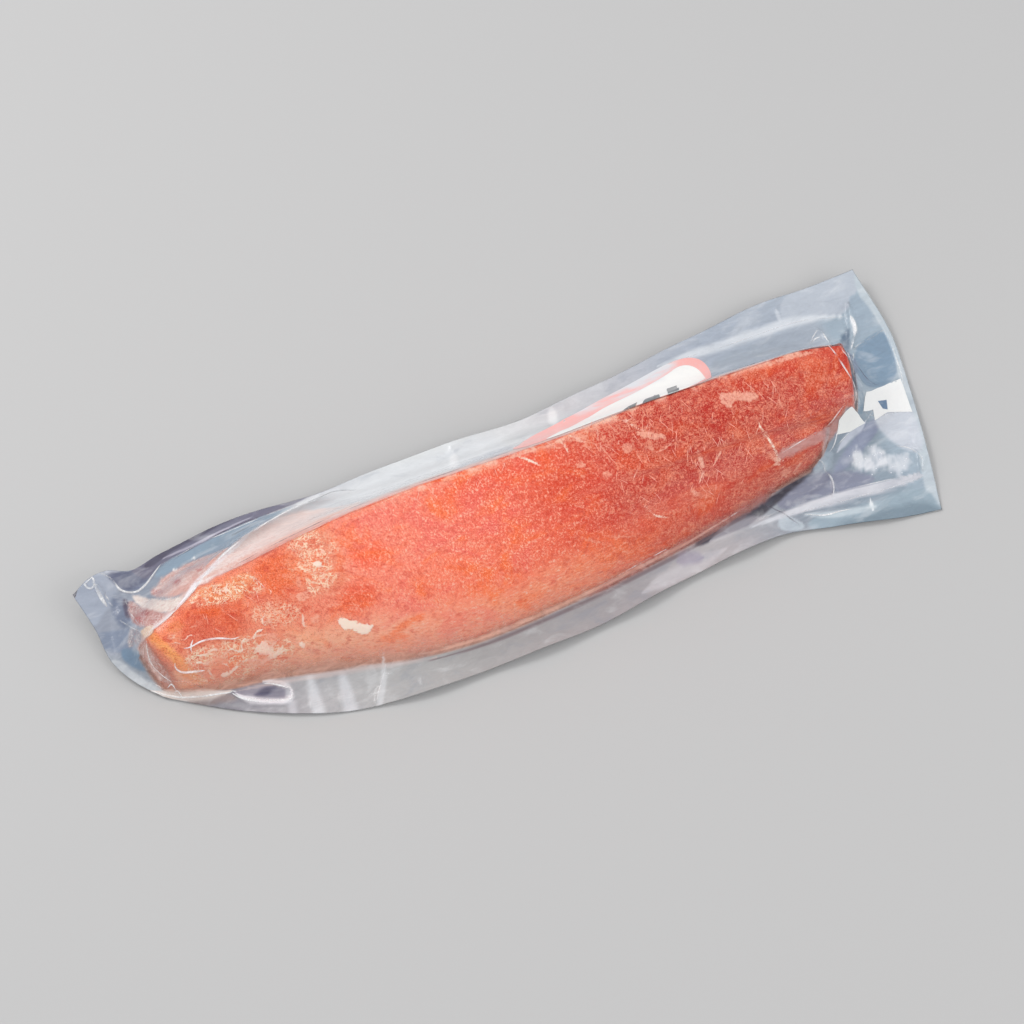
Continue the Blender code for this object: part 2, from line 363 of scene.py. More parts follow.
# How strongly frost pales the flesh just before the ridge.
RIM_FROST = ((-290, 0), (-120, 0.2), (-60, 0.8), (20, 1), (100, 1), (180, 0.85), (235, 0.9), (270, 0.5))
RIM_FROST_WIDTH = 9.0
RIM_FROST_COLOUR = (255, 214, 192)

# Soft areas of another flesh colour: outline, softness, colour and strength.
FLESH_AREAS = (
    (((-240, 12), (-231, 12), (-212, 11), (-202, 14), (-195, 1), (-200, -2), (-214, -5), (-233, -2)), 5,
     (240, 146, 92), 0.9),
    (((-255, 2), (-240, 2), (-218, -3), (-212, -14), (-215, -25), (-225, -28), (-239, -23), (-254, -24),
      (-262, -16)), 9, (214, 86, 58), 0.7),
    (((-243, 0), (-233, -1), (-226, -6), (-230, -10), (-241, -7)), 4, (226, 92, 40), 0.9),
    (((-268, -5), (-259, -2), (-254, -8), (-260, -11), (-266, -10)), 3, (222, 140, 88), 0.8),
    (((-206, 2), (-196, 0), (-196, -14), (-206, -12)), 9, (216, 84, 52), 0.6),
    (((-196, 18), (-164, 17), (-162, -6), (-184, -16), (-199, -4)), 10, (238, 108, 52), 0.9),
    (((-192, -12), (-170, -10), (-166, -28), (-190, -30)), 11, (222, 92, 58), 0.5),
    (((-172, 24), (-138, 26), (-134, -20), (-150, -28), (-176, -26)), 12, (236, 140, 104), 0.75),
    (((-150, -24), (-122, -24), (-120, -38), (-146, -42)), 10, (240, 92, 52), 0.7),
    (((-134, 0), (-112, -2), (-104, -16), (-126, -20)), 14, (255, 94, 58), 0.7),
    (((-130, 22), (-90, 22), (-90, 4), (-124, 4)), 16, (246, 122, 108), 0.6),
    (((-266, -20), (-215, -27), (-190, -34), (-186, -50), (-262, -44)), 8, (242, 148, 116), 0.85),
    (((-60, 24), (30, 24), (40, 4), (-40, 2)), 22, (248, 96, 56), 0.6),
    (((-110, -30), (0, -26), (20, -50), (-90, -56)), 24, (255, 130, 90), 0.5),
    (((-60, -8), (-10, -4), (0, -22), (-50, -26)), 18, (250, 112, 92), 0.5),
    (((10, -2), (50, 6), (60, -20), (20, -28)), 20, (222, 66, 34), 0.6),
    (((50, -24), (90, -18), (100, -42), (60, -46)), 14, (196, 44, 26), 0.6),
    (((80, -2), (150, 4), (150, -34), (96, -38)), 20, (178, 28, 14), 0.4),
    (((60, -46), (130, -36), (150, -48), (90, -62)), 12, (236, 96, 54), 0.5),
    (((150, 26), (210, 30), (210, 6), (160, 4)), 18, (224, 76, 42), 0.45),
    (((196, 20), (266, 26), (266, -6), (206, -10)), 16, (190, 34, 22), 0.6),
    (((196, 30), (262, 32), (264, 18), (206, 18)), 8, (236, 96, 58), 0.5),
    (((120, -34), (190, -30), (196, -44), (130, -56)), 12, (216, 72, 46), 0.4),
    (((190, -34), (240, -20), (244, -30), (200, -48)), 6, (190, 44, 30), 0.6),
    (((230, -26), (246, -16), (247, -30), (234, -40)), 4, (228, 116, 72), 0.9),
    # This area is the loin's left end face, brownish in painted shade.
    (((-294, 8), (-284, -2), (-279, -16), (-273, -30), (-274, -40), (-300, -10)), 4, (204, 134, 116), 0.9),
    (((-283, -1), (-277, -12), (-272, -24), (-266, -34), (-258, -43), (-252, -43), (-261, -33),
      (-267, -24), (-272, -12), (-278, -2)), 3.5, (250, 164, 92), 1),
    (((-262, -38), (-250, -42), (-216, -46), (-216, -54), (-262, -50)), 5, (250, 150, 92), 0.8),
    (((-292, 46), (-262, 52), (-246, 58), (-228, 60), (-228, 30), (-262, 10), (-274, 0), (-290, 0)), 5,
     (216, 134, 118), 0.85),
    (((-288, 20), (-283, 22), (-276, 14), (-284, 8)), 4, (206, 78, 60), 0.8),
    (((-282, -5), (-279, -13), (-275, -21), (-270, -28), (-267, -36), (-262, -36), (-266, -26),
      (-270, -16), (-276, -6)), 2.5, (255, 176, 108), 1),
)

# Patches of frost under the film: outline, softness, roughness and strength.
FROST_PATCHES = (
    (((-155, -39), (-147, -43), (-138, -50), (-131, -52), (-136, -54), (-140, -55), (-148, -49),
      (-153, -48)), 0.4, 0.8, 1),
    # This patch is partly frost with its relief and partly a painted highlight, a glare spot on the film.
    (((-217, -34), (-207, -34), (-201, -40), (-206, -43), (-211, -42), (-218, -38)), 2.6, 3.4, 0.8),
    (((-207, -33), (-198, -30), (-194, -36), (-203, -40)), 3, 2, 0.55),
    (((-186, -43), (-182, -43), (-180, -46), (-183, -47)), 0.8, 0.4, 0.85),
    (((-183, -46), (-178, -47), (-174, -50), (-177, -51), (-182, -50)), 1, 0.5, 0.45),
    (((-166, -47), (-161, -48), (-160, -51), (-165, -51)), 1, 0.4, 0.45),
    (((-172, -15), (-167, -17), (-167, -22), (-173, -24), (-177, -20), (-177, -16)), 1.5, 1.2, 0.55),
    (((-173, -6), (-169, -6), (-168, -11), (-173, -12)), 1.6, 1, 0.5),
    (((-157, 0), (-153, 1), (-150, -3), (-153, -5), (-157, -3)), 0.8, 0.6, 0.9),
    (((-150, 8), (-146, 7), (-145, 4), (-149, 4)), 0.8, 0.5, 0.7),
    (((-170, -32), (-166, -32), (-164, -36), (-169, -38), (-173, -36)), 0.9, 0.7, 0.55),
    (((-206, -5), (-203, -4), (-201, -8), (-202, -12), (-206, -11), (-208, -8)), 1, 0.5, 0.42),
    (((-228, 8), (-224, 7), (-224, 3), (-228, 4)), 1.2, 0.8, 0.7),
    (((-250, -30), (-238, -29), (-232, -33), (-240, -37), (-252, -36)), 3, 2.5, 0.4),
    (((-226, -40), (-214, -40), (-205, -43), (-216, -45), (-228, -43)), 2, 1.5, 0.5),
    (((162, 19), (167, 19), (173, 16), (186, 13), (189, 9), (188, 5), (182, 4), (175, 7), (170, 7),
      (165, 4), (160, 10)), 1.8, 2.4, 0.61),
    (((92, 10), (97, 11), (104, 8), (114, 0), (111, -3), (102, 1), (95, 6)), 1.8, 1.8, 0.6),
    (((81, 7), (87, 5), (87, 0), (82, -4), (78, 0)), 1.8, 1.8, 0.54),
    (((96, -1), (103, -5), (100, -8), (94, -4)), 2, 1.8, 0.48),
    (((128, -15), (133, -16), (133, -22), (132, -28), (129, -31), (128, -27)), 1.6, 1.6, 0.64),
    (((169, -24), (179, -27), (182, -31), (186, -34), (184, -38), (176, -31)), 2.6, 2, 0.42),
    (((181, -31), (185, -34), (190, -37), (188, -40), (183, -38)), 1.4, 1, 0.7),
    (((43, 2), (47, 3), (51, 1), (50, -2), (43, -2)), 1.8, 1.6, 0.56),
    (((40, -6), (46, -5), (48, -9), (43, -10)), 2, 1.6, 0.48),
    (((57, -9), (62, -9), (66, -13), (64, -16), (58, -14)), 1.2, 1, 0.55),
    (((64, 10), (68, 10), (70, 0), (66, 0)), 1.4, 1.2, 0.5),
    (((46, 24), (62, 23), (60, 17), (48, 18)), 3, 2.4, 0.5),
    (((205, 29), (225, 32), (245, 30), (243, 27), (224, 28), (208, 26)), 1.6, 1, 0.6),
    (((200, 0), (203, 1), (204, -8), (201, -9)), 1, 0.6, 0.45),
    (((214, -18), (217, -17), (216, -25), (213, -25)), 1, 0.6, 0.4),
    (((186, -42), (200, -41), (207, -41), (199, -46), (188, -46)), 2.6, 2.2, 0.45),
    (((118, -40), (126, -46), (123, -48), (115, -43)), 1.6, 1.6, 0.55),
)

# Streaks where the flesh froze to the film or air froze along a fold: path, half width and strength.
FROST_STREAKS = (
    (((-202, 13), (-200, 6), (-198, 1), (-196, -4)), 0.5, 0.9),
    (((-196, 12), (-193, 4), (-191, -3)), 0.4, 0.7),
    (((-220, 12), (-218, 5), (-218, -2)), 0.5, 0.8),
    (((-213, 10), (-213, 4), (-214, -3)), 0.5, 0.9),
    (((-228, 7), (-222, 6), (-218, 3)), 0.5, 0.8),
    (((-239, 10), (-236, 6), (-233, 0), (-231, -2)), 0.6, 0.8),
    (((-248, 6), (-240, 5), (-235, 3)), 0.5, 0.8),
    (((-221, 1), (-220, 7), (-215, 10)), 0.5, 0.8),
    (((-230, 10), (-225, 10), (-220, 9)), 0.4, 0.8),
    (((-209, 9), (-206, 3), (-208, -3)), 0.4, 0.8),
    (((-196, -7), (-193, -5), (-190, -8), (-194, -10)), 0.6, 0.8),
    (((-200, -21), (-203, -22), (-204, -26), (-202, -27)), 0.9, 0.8),
    (((-203, -25), (-199, -25), (-196, -24)), 0.6, 0.7),
    (((-176, -28), (-176, -31), (-178, -34), (-177, -37), (-174, -37)), 1.2, 0.75),
    (((-254, -11), (-249, -11), (-245, -11)), 0.9, 0.5),
    (((-259, -24), (-260, -28), (-261, -32)), 1, 0.6),
    (((-258, -32), (-254, -32), (-250, -34), (-246, -34)), 0.7, 0.9),
    (((-245, -40), (-240, -41), (-235, -41), (-231, -40), (-227, -41)), 0.8, 0.85),
    (((-252, -35), (-249, -38), (-248, -40)), 0.6, 0.8),
    (((-240, -36), (-236, -38), (-235, -41)), 0.6, 0.8),
    (((-228, -39), (-221, -40), (-212, -42)), 0.7, 0.8),
    (((-218, -43), (-213, -43), (-207, -43), (-201, -43), (-194, -43)), 0.9, 0.8),
    (((-205, -43), (-199, -42), (-194, -41)), 0.5, 0.8),
    (((-221, -31), (-216, -31), (-210, -31), (-204, -32)), 0.9, 0.7),
    (((-270, -12), (-266, -14), (-263, -13)), 0.6, 0.7),
    (((-268, -17), (-264, -17), (-262, -20)), 0.6, 0.8),
    (((-193, -21), (-197, -25), (-200, -27), (-195, -34)), 0.5, 0.5),
    (((-256, -28), (-248, -30), (-242, -28), (-236, -31)), 0.6, 0.85),
    (((-236, -33), (-230, -31), (-226, -35), (-220, -34)), 0.6, 0.85),
    (((-224, -36), (-222, -30), (-216, -29)), 0.6, 0.9),
    (((-214, -32), (-210, -28), (-204, -29)), 0.6, 0.9),
    (((-208, -44), (-202, -38), (-196, -37)), 0.7, 0.8),
    (((-262, -16), (-258, -18), (-254, -15), (-250, -18)), 0.5, 0.75),
    (((-165, 12), (-160, 14), (-158, 8), (-154, 10)), 0.5, 0.75),
    (((-162, -10), (-158, -6), (-152, -9), (-150, -14)), 0.5, 0.7),
    (((7, 23), (13, 18.5), (17, 14), (20, 10)), 1.3, 0.9),
    (((24, 24), (32, 21), (42, 17)), 1.2, 0.5),
    (((46, 28), (51, 22.5), (56, 15.5)), 1.1, 0.9),
    (((-58, 25), (-38, 24), (-20, 24), (-5, 24)), 1.4, 0.5),
    (((-5, 24), (10, 24.5), (26, 23.5), (42, 23.5)), 1.6, 0.62),
    (((42, 23.5), (57, 24), (72, 25)), 1.4, 0.55),
    (((40, 24), (42, 18), (42, 13), (44, 12)), 1.2, 0.75),
    (((45, 24), (48, 19)), 0.6, 0.6),
    (((58, 21), (56, 14), (55, 9)), 0.9, 0.5),
    (((87, 24), (92, 18), (97, 12), (102, 8)), 0.9, 0.75),
    (((81, 26), (88, 23), (95, 21), (99, 20)), 0.8, 0.7),
    (((104, 26), (106, 20), (107, 17)), 0.8, 0.65),
    (((96, 21), (100, 16)), 0.6, 0.6),
    (((122, 24), (126, 14), (127, 8)), 0.5, 0.5),
    (((157, -13), (151, -18), (144, -25), (135, -32)), 0.6, 0.65),
    (((152, -17), (153, -20), (149, -21)), 0.7, 0.55),
    (((135, 0), (130, -9), (126, -15)), 0.45, 0.5),
    (((98, -10), (104, -9), (111, -8), (117, -4), (121, -3)), 0.6, 0.65),
    (((154, -24), (151, -30), (149, -35)), 0.5, 0.5),
    (((130, -31), (126, -35), (123, -38)), 0.5, 0.7),
    (((159, -40), (158, -44), (158, -47)), 0.5, 0.6),
    (((151, -39), (150, -43), (150, -46)), 0.5, 0.5),
    (((118, -38), (117, -42), (118, -46)), 0.8, 0.75),
    (((109, -43), (113, -40)), 0.5, 0.5),
    (((88, -18), (91, -13), (94, -11)), 0.5, 0.5),
    (((47, -35), (51, -35), (53, -39), (50, -42), (46, -39), (47, -35)), 0.7, 0.5),
    (((77, -36), (78, -41), (82, -44), (83, -48), (87, -50), (94, -52)), 1.1, 0.8),
    (((169, -2), (176, -6), (181, -10)), 0.9, 0.5),
    (((181, -10), (181, -15), (183, -21), (185, -26), (186, -31), (188, -36), (191, -38)), 1.4, 0.95),
    (((179, -40), (186, -39), (191, -42)), 0.7, 0.65),
    (((187, -46), (191, -43), (197, -41)), 0.6, 0.65),
    (((199, -44), (203, -41), (207, -41)), 0.6, 0.65),
    (((222, -14), (222, -20), (224, -24)), 0.5, 0.7),
    (((228, -6), (230, -14), (228, -20)), 0.4, 0.6),
    (((20, -44), (33, -50), (48, -58)), 1.4, 0.4),
    (((40, -49), (54, -54), (72, -58)), 1.2, 0.4),
)


def flesh_paint(x, y):
    """The flesh's colour at each point, before its fibres and frost, and the front flank's share."""
    front, ridge, _, _ = loin_lines(x)
    up = (y - front) / (ridge - front) + FLANK_WANDER * rough_hills(x, y, 30.0, 5)
    dulled = FLANK_DULLED * ease((x - FLANK_DULLS_FROM) / FLANK_DULLS_OVER)
    flank = (ease((FLANK_START + FLANK_WIDTH / 2 - up) / FLANK_WIDTH) * (1 - dulled))[..., None]
    colours = graded(FLESH_ALONG, 1, x) * (1 - flank) + graded(FLESH_ALONG, 2, x) * flank
    for outline, soft, colour, strength in FLESH_AREAS:
        mask = strength * inside(x, y, outline, soft, soft / 3, 9.0, 11)[..., None]
        colours = colours + mask * (np.array(colour) - colours)
    rim = ease(1 - (ridge - y) / RIM_FROST_WIDTH) * ease(0.55 + 1.1 * rough_hills(x, y, 6.0, 12))
    rim = (smooth(*zip(*RIM_FROST), x) * rim)[..., None]
    colours = colours + rim * (np.array(RIM_FROST_COLOUR) - colours)
    return linear(colours), flank[..., 0]


def frost_paint(x, y):
    """Where frost lies on the flesh, from 0 to 1 at its middle, and how thick it is there."""
    masks = [inside(x, y, outline, soft + 1.5, rough, 5.0, 20 + k)
             for k, (outline, soft, rough, _) in enumerate(FROST_PATCHES)]
    masks += [ease(1.5 * near_path(x, y, path, width + 0.3, 0.4, 60 + k))
              for k, (path, width, _) in enumerate(FROST_STREAKS)]
    masks = np.array(masks)
    strengths = np.array(column(FROST_PATCHES, 3) + column(FROST_STREAKS, 2))[:, None, None]
    return masks.max(axis=0), (masks * strengths).sum(axis=0) / np.maximum(masks.sum(axis=0), 1e-6)


# The pouch's middle is the origin, so the loin moves with it. These are the pouch's four edges.
BACK_EDGE = (
    (-320, 58.5, 22),
    (-307, 65.5, 24),
    (-292, 68.5, 21),
    (-276, 65, 14),
    (-254, 70.5, 12),
    (-215, 77, 12),
    (-175, 77.5, 12),
    (-120, 75, 12),
    (-55, 78.5, 12),
    (26, 76.5, 12),
    (133, 88, 12),
    (238, 102, 10),
    (272, 102.5, 10),
    (314, 101, 14),
)
FRONT_EDGE = (
    (-284, -32.5, 3),
    (-238, -61.5, 2),
    (-172, -89.5, 2),
    (-131, -97, 4),
    (-56, -99.5, 6),
    (29, -96.5, 6),
    (96, -86.5, 6),
    (142, -82, 6),
    (178, -80.5, 5),
    (215, -88.5, 3),
    (255, -98, 3),
    (291, -103.5, 2),
)
LEFT_EDGE = (
    (-284, -32.5, 3),
    (-299, -15.5, 4),
    (-309, 2, 6),
    (-313.5, 32.5, 12),
    (-320, 58.5, 22),
)
RIGHT_EDGE = (
    (291, -103.5, 2),
    (300, -64.5, 4),
    (316, 10.5, 5),
    (320, 38.5, 6),
    (314, 101, 14),
)


def edge(points, along, share):
    """Points on one of the pouch's edges, at shares of its reach along one axis."""
    reach = np.array(column(points, along))
    knots = (reach - reach[0]) / (reach[-1] - reach[0])
    return np.stack([smooth(knots, column(points, axis), share) for axis in range(3)], axis=-1)


def middle():
    """The middle of the pouch's plan, measured on its edges."""
    shares = np.linspace(0, 1, 400)
    sides = ((FRONT_EDGE, 0), (BACK_EDGE, 0), (LEFT_EDGE, 1), (RIGHT_EDGE, 1))
    rim = np.concatenate([edge(points, along, shares) for points, along in sides])
    return (rim.min(axis=0) + rim.max(axis=0)) / 2 * (1, 1, 0)


SHIFT = middle()
FROST_THICKNESS = 0.3
FOOT_FADE = 6.0  # the relief fades out this near the table

upper = loin_grid()
loin_x, loin_y = upper[..., 0].copy(), upper[..., 1].copy()
relief = sum(depth * (hills(loin_x, loin_y, size, 90 + k) - 1) / 2 for k, (size, depth) in enumerate(HILLS))
frost, thick = frost_paint(loin_x, loin_y)
stand = (relief + FROST_THICKNESS * frost * thick)[..., None] * ease(upper[..., 2:] / FOOT_FADE)
upper = upper + upward(upper) * stand
upper[..., 2] = np.maximum(upper[..., 2], 0.0) + LOIN_FOOT
under = upper.copy()
under[..., 2] = LOIN_FOOT
tuna_loin = envelope("tuna_loin", upper - SHIFT, under - SHIFT, LOIN_UNDERSIDE_STEP)

# How strongly the pale fibres and the clotted patches show along the loin.
FIBRE_ALONG = ((-290, 0.3), (-200, 0.4), (-165, 0.6), (-120, 1), (40, 1), (90, 0.5), (270, 0.45))
PATCHY_ALONG = ((-290, 0.8), (-170, 0.8), (-120, 0.2), (0, 0.1), (60, 0.9), (180, 0.9), (270, 0.8))

# Where the frost is crazed, and where bubbles froze: outline, softness and strength.
CRAZED = (
    (((-244, 14), (-202, 16), (-190, -6), (-214, -6), (-236, -2), (-250, 4)), 6, 1),
    (((-174, 26), (-140, 28), (-132, 0), (-146, -24), (-178, -24)), 10, 0.9),
    (((-268, -22), (-216, -27), (-190, -32), (-184, -52), (-262, -46)), 7, 1),
    (((-272, -10), (-262, -10), (-258, -20), (-270, -20)), 4, 0.8),
    (((-212, -10), (-190, -12), (-170, -26), (-184, -38), (-214, -28)), 8, 0.75),
    (((48, 30), (130, 32), (262, 32), (262, -30), (240, -50), (120, -80), (80, -80)), 22, 0.44),
    (((40, 30), (130, 31), (110, 6), (60, 4)), 10, 0.6),
)
BUBBLED = (
    (((-214, 0), (-180, 6), (-140, 28), (-126, 0), (-140, -30), (-210, -34)), 12, 0.9),
    (((-260, -22), (-200, -24), (-192, -50), (-256, -46)), 8, 0.6),
    (((24, 30), (130, 34), (270, 36), (264, -20), (240, -60), (120, -84), (50, -84)), 20, 1),
)
crazed, bubbled = (
    np.max([strength * inside(loin_x, loin_y, outline, soft) for outline, soft, strength in areas], axis=0)
    for areas in (CRAZED, BUBBLED)
)
flesh, flank = flesh_paint(loin_x, loin_y)
keep(tuna_loin, "flesh", flesh)
keep(tuna_loin, "flank", flank)
keep(tuna_loin, "frost", frost, 0.0)
keep(tuna_loin, "thick", thick, 0.0)
keep(tuna_loin, "fibre", smooth(*zip(*FIBRE_ALONG), loin_x))
for name, strength, less_on_flank in (
    ("craze", crazed, 0.1),
    ("patchy", smooth(*zip(*PATCHY_ALONG), loin_x), 0.4),
    ("bubbly", bubbled, 0.2),
):
    keep(tuna_loin, name, strength * (1 - less_on_flank * flank))


def keep_grain(made, grid):
    """A UV map in metres: along the loin, and across it over its curve."""
    steps = np.linalg.norm(np.diff(grid, axis=1, prepend=grid[:, :1]), axis=-1)
    flat = np.stack([grid[..., 0], np.cumsum(steps, axis=1)], axis=-1).reshape(-1, 2) * MM
    whole = np.zeros((len(made.data.vertices), 2), np.float32)
    whole[: len(flat)] = flat
    corners = np.empty(len(made.data.loops), np.int32)
    made.data.loops.foreach_get("vertex_index", corners)
    made.data.uv_layers.new(name="grain").data.foreach_set("uv", whole[corners].ravel())


keep_grain(tuna_loin, upper)


def feed(tree, socket, value):
    """Links a socket to another, or gives it a plain value."""
    if isinstance(value, bpy.types.NodeSocket):
        tree.links.new(value, socket)
    else:
        socket.default_value = value


def place(tree, kind, inputs, out=0, **settings):
    """Adds a node with its inputs fed, and returns one of its outputs."""
    made = tree.nodes.new(kind)
    for name, value in settings.items():
        setattr(made, name, value)
    for name, value in inputs.items():
        feed(tree, made.inputs[name], value)
    return made.outputs[out]


def mixed(tree, share, first, second):
    """Two colours mixed by a share."""
    return place(tree, "ShaderNodeMix", {0: share, 6: first, 7: second}, 2, data_type="RGBA")


def marked(tree, colour, marks):
    """A colour with others laid over it in turn, each where its own share says."""
    for share, shade in marks:
        colour = mixed(tree, share, colour, rgba(shade))
    return colour


def maths(tree, operation, *values):
    return place(tree, "ShaderNodeMath", dict(enumerate(values)), operation=operation)


def product(tree, *values):
    """Any number of values multiplied together."""
    result = values[0]
    for value in values[1:]:
        result = maths(tree, "MULTIPLY", result, value)
    return result


def adjusted(tree, value, factor, offset):
    """A value multiplied by a factor, with an offset added."""
    return maths(tree, "MULTIPLY_ADD", value, factor, offset)


def step_between(tree, value, low, high, to=1.0):
    """A soft step from 0 at low to `to` at high."""
    inputs = {"Value": value, "From Min": low, "From Max": high, "To Min": 0.0, "To Max": to}
    return place(tree, "ShaderNodeMapRange", inputs, interpolation_type="SMOOTHSTEP")


def stretched(tree, vector, scale, turn=0.0):
    """A pattern's coordinates, scaled by different amounts along each axis."""
    return place(tree, "ShaderNodeMapping", {"Vector": vector, "Scale": scale, "Rotation": (0.0, 0.0, turn)})


def noise(tree, vector, scale=1.0, detail=3.0, roughness=0.6, distortion=0.0):
    return place(tree, "ShaderNodeTexNoise", {"Vector": vector, "Scale": scale, "Detail": detail,
                                              "Roughness": roughness, "Distortion": distortion})


def stored(tree, name, out="Fac"):
    return place(tree, "ShaderNodeAttribute", {}, out, attribute_name=name)


def rgba(colour):
    return (*linear(colour), 1.0)


def new_material(name):
    """A material with only its output node, its tree, and that node's surface socket."""
    made = bpy.data.materials.new(name)
    made.use_nodes = True
    made.node_tree.nodes.clear()
    return made, made.node_tree, made.node_tree.nodes.new("ShaderNodeOutputMaterial").inputs["Surface"]


THREAD_NETS = ((1.0, 0.030), (1.9, 0.042))  # how fine each net of threads is, and the threads' width
BUBBLE_SIZES = (  # how fine each set of bubbles is, how rare they are, and the largest
    (1.0, 0.60, 0.44),
    (1.9, 0.35, 0.46),
    (3.1, 0.30, 0.46),
)


def ice_grain():
    """Shared effect: fine ice crystals, the crazed threads between them, and frozen bubbles."""
    tree = bpy.data.node_groups.new("ice_grain", "ShaderNodeTree")
    for name in ("Vector", "Crystals per m", "Threads per m", "Bubbles per m"):
        kind = "NodeSocketVector" if name == "Vector" else "NodeSocketFloat"
        tree.interface.new_socket(name, in_out="INPUT", socket_type=kind)
    for name in ("Crystals", "Threads", "Bubbles", "Height"):
        tree.interface.new_socket(name, in_out="OUTPUT", socket_type="NodeSocketFloat")
    given = tree.nodes.new("NodeGroupInput").outputs
    result = tree.nodes.new("NodeGroupOutput").inputs
    crystals = noise(tree, given["Vector"], given["Crystals per m"], 3.0, 0.62)
    crystals = step_between(tree, crystals, 0.46, 0.66)
    threads = None
    for times, width in THREAD_NETS:
        scale = product(tree, given["Threads per m"], times)
        wander = noise(tree, given["Vector"], scale, 2.0, 0.6, 1.4)
        apart = maths(tree, "ABSOLUTE", maths(tree, "SUBTRACT", wander, 0.5))
        line = step_between(tree, apart, width, width / 5)
        threads = line if threads is None else maths(tree, "MAXIMUM", threads, line)
    patches = noise(tree, given["Vector"], product(tree, given["Threads per m"], 0.5), 3.0, 0.6)
    threads = product(tree, threads, step_between(tree, patches, 0.40, 0.52))
    bubbles = None
    for times, rarity, largest in BUBBLE_SIZES:
        cells = tree.nodes.new("ShaderNodeTexVoronoi")
        feed(tree, cells.inputs["Vector"], given["Vector"])
        feed(tree, cells.inputs["Scale"], product(tree, given["Bubbles per m"], times))
        chosen = place(tree, "ShaderNodeSeparateColor", {"Color": cells.outputs["Color"]})
        size = place(tree, "ShaderNodeMapRange",
                     {"Value": chosen, "From Min": rarity, "To Min": 0.0, "To Max": largest})
        inwards = maths(tree, "SUBTRACT", size, cells.outputs["Distance"])
        # A bubble's bright rim is partly painted highlight, standing in for the glints on it.
        rim = step_between(tree, inwards, 0.24, 0.08)
        body = step_between(tree, inwards, 0.0, 0.07)
        one = product(tree, body, adjusted(tree, rim, 0.6, 0.4))
        bubbles = one if bubbles is None else maths(tree, "MAXIMUM", bubbles, one)
    feed(tree, result["Crystals"], crystals)
    feed(tree, result["Threads"], threads)
    feed(tree, result["Bubbles"], bubbles)
    feed(tree, result["Height"], maths(tree, "ADD", product(tree, crystals, 0.5), threads))


def grain_of(tree, vector, crystals, threads, bubbles=300.0):
    """The shared ice grain, placed in a material with its own sizes."""
    made = tree.nodes.new("ShaderNodeGroup")
    made.node_tree = bpy.data.node_groups["ice_grain"]
    feed(tree, made.inputs["Vector"], vector)
    feed(tree, made.inputs["Crystals per m"], crystals)
    feed(tree, made.inputs["Threads per m"], threads)
    feed(tree, made.inputs["Bubbles per m"], bubbles)
    return made.outputs


ice_grain()


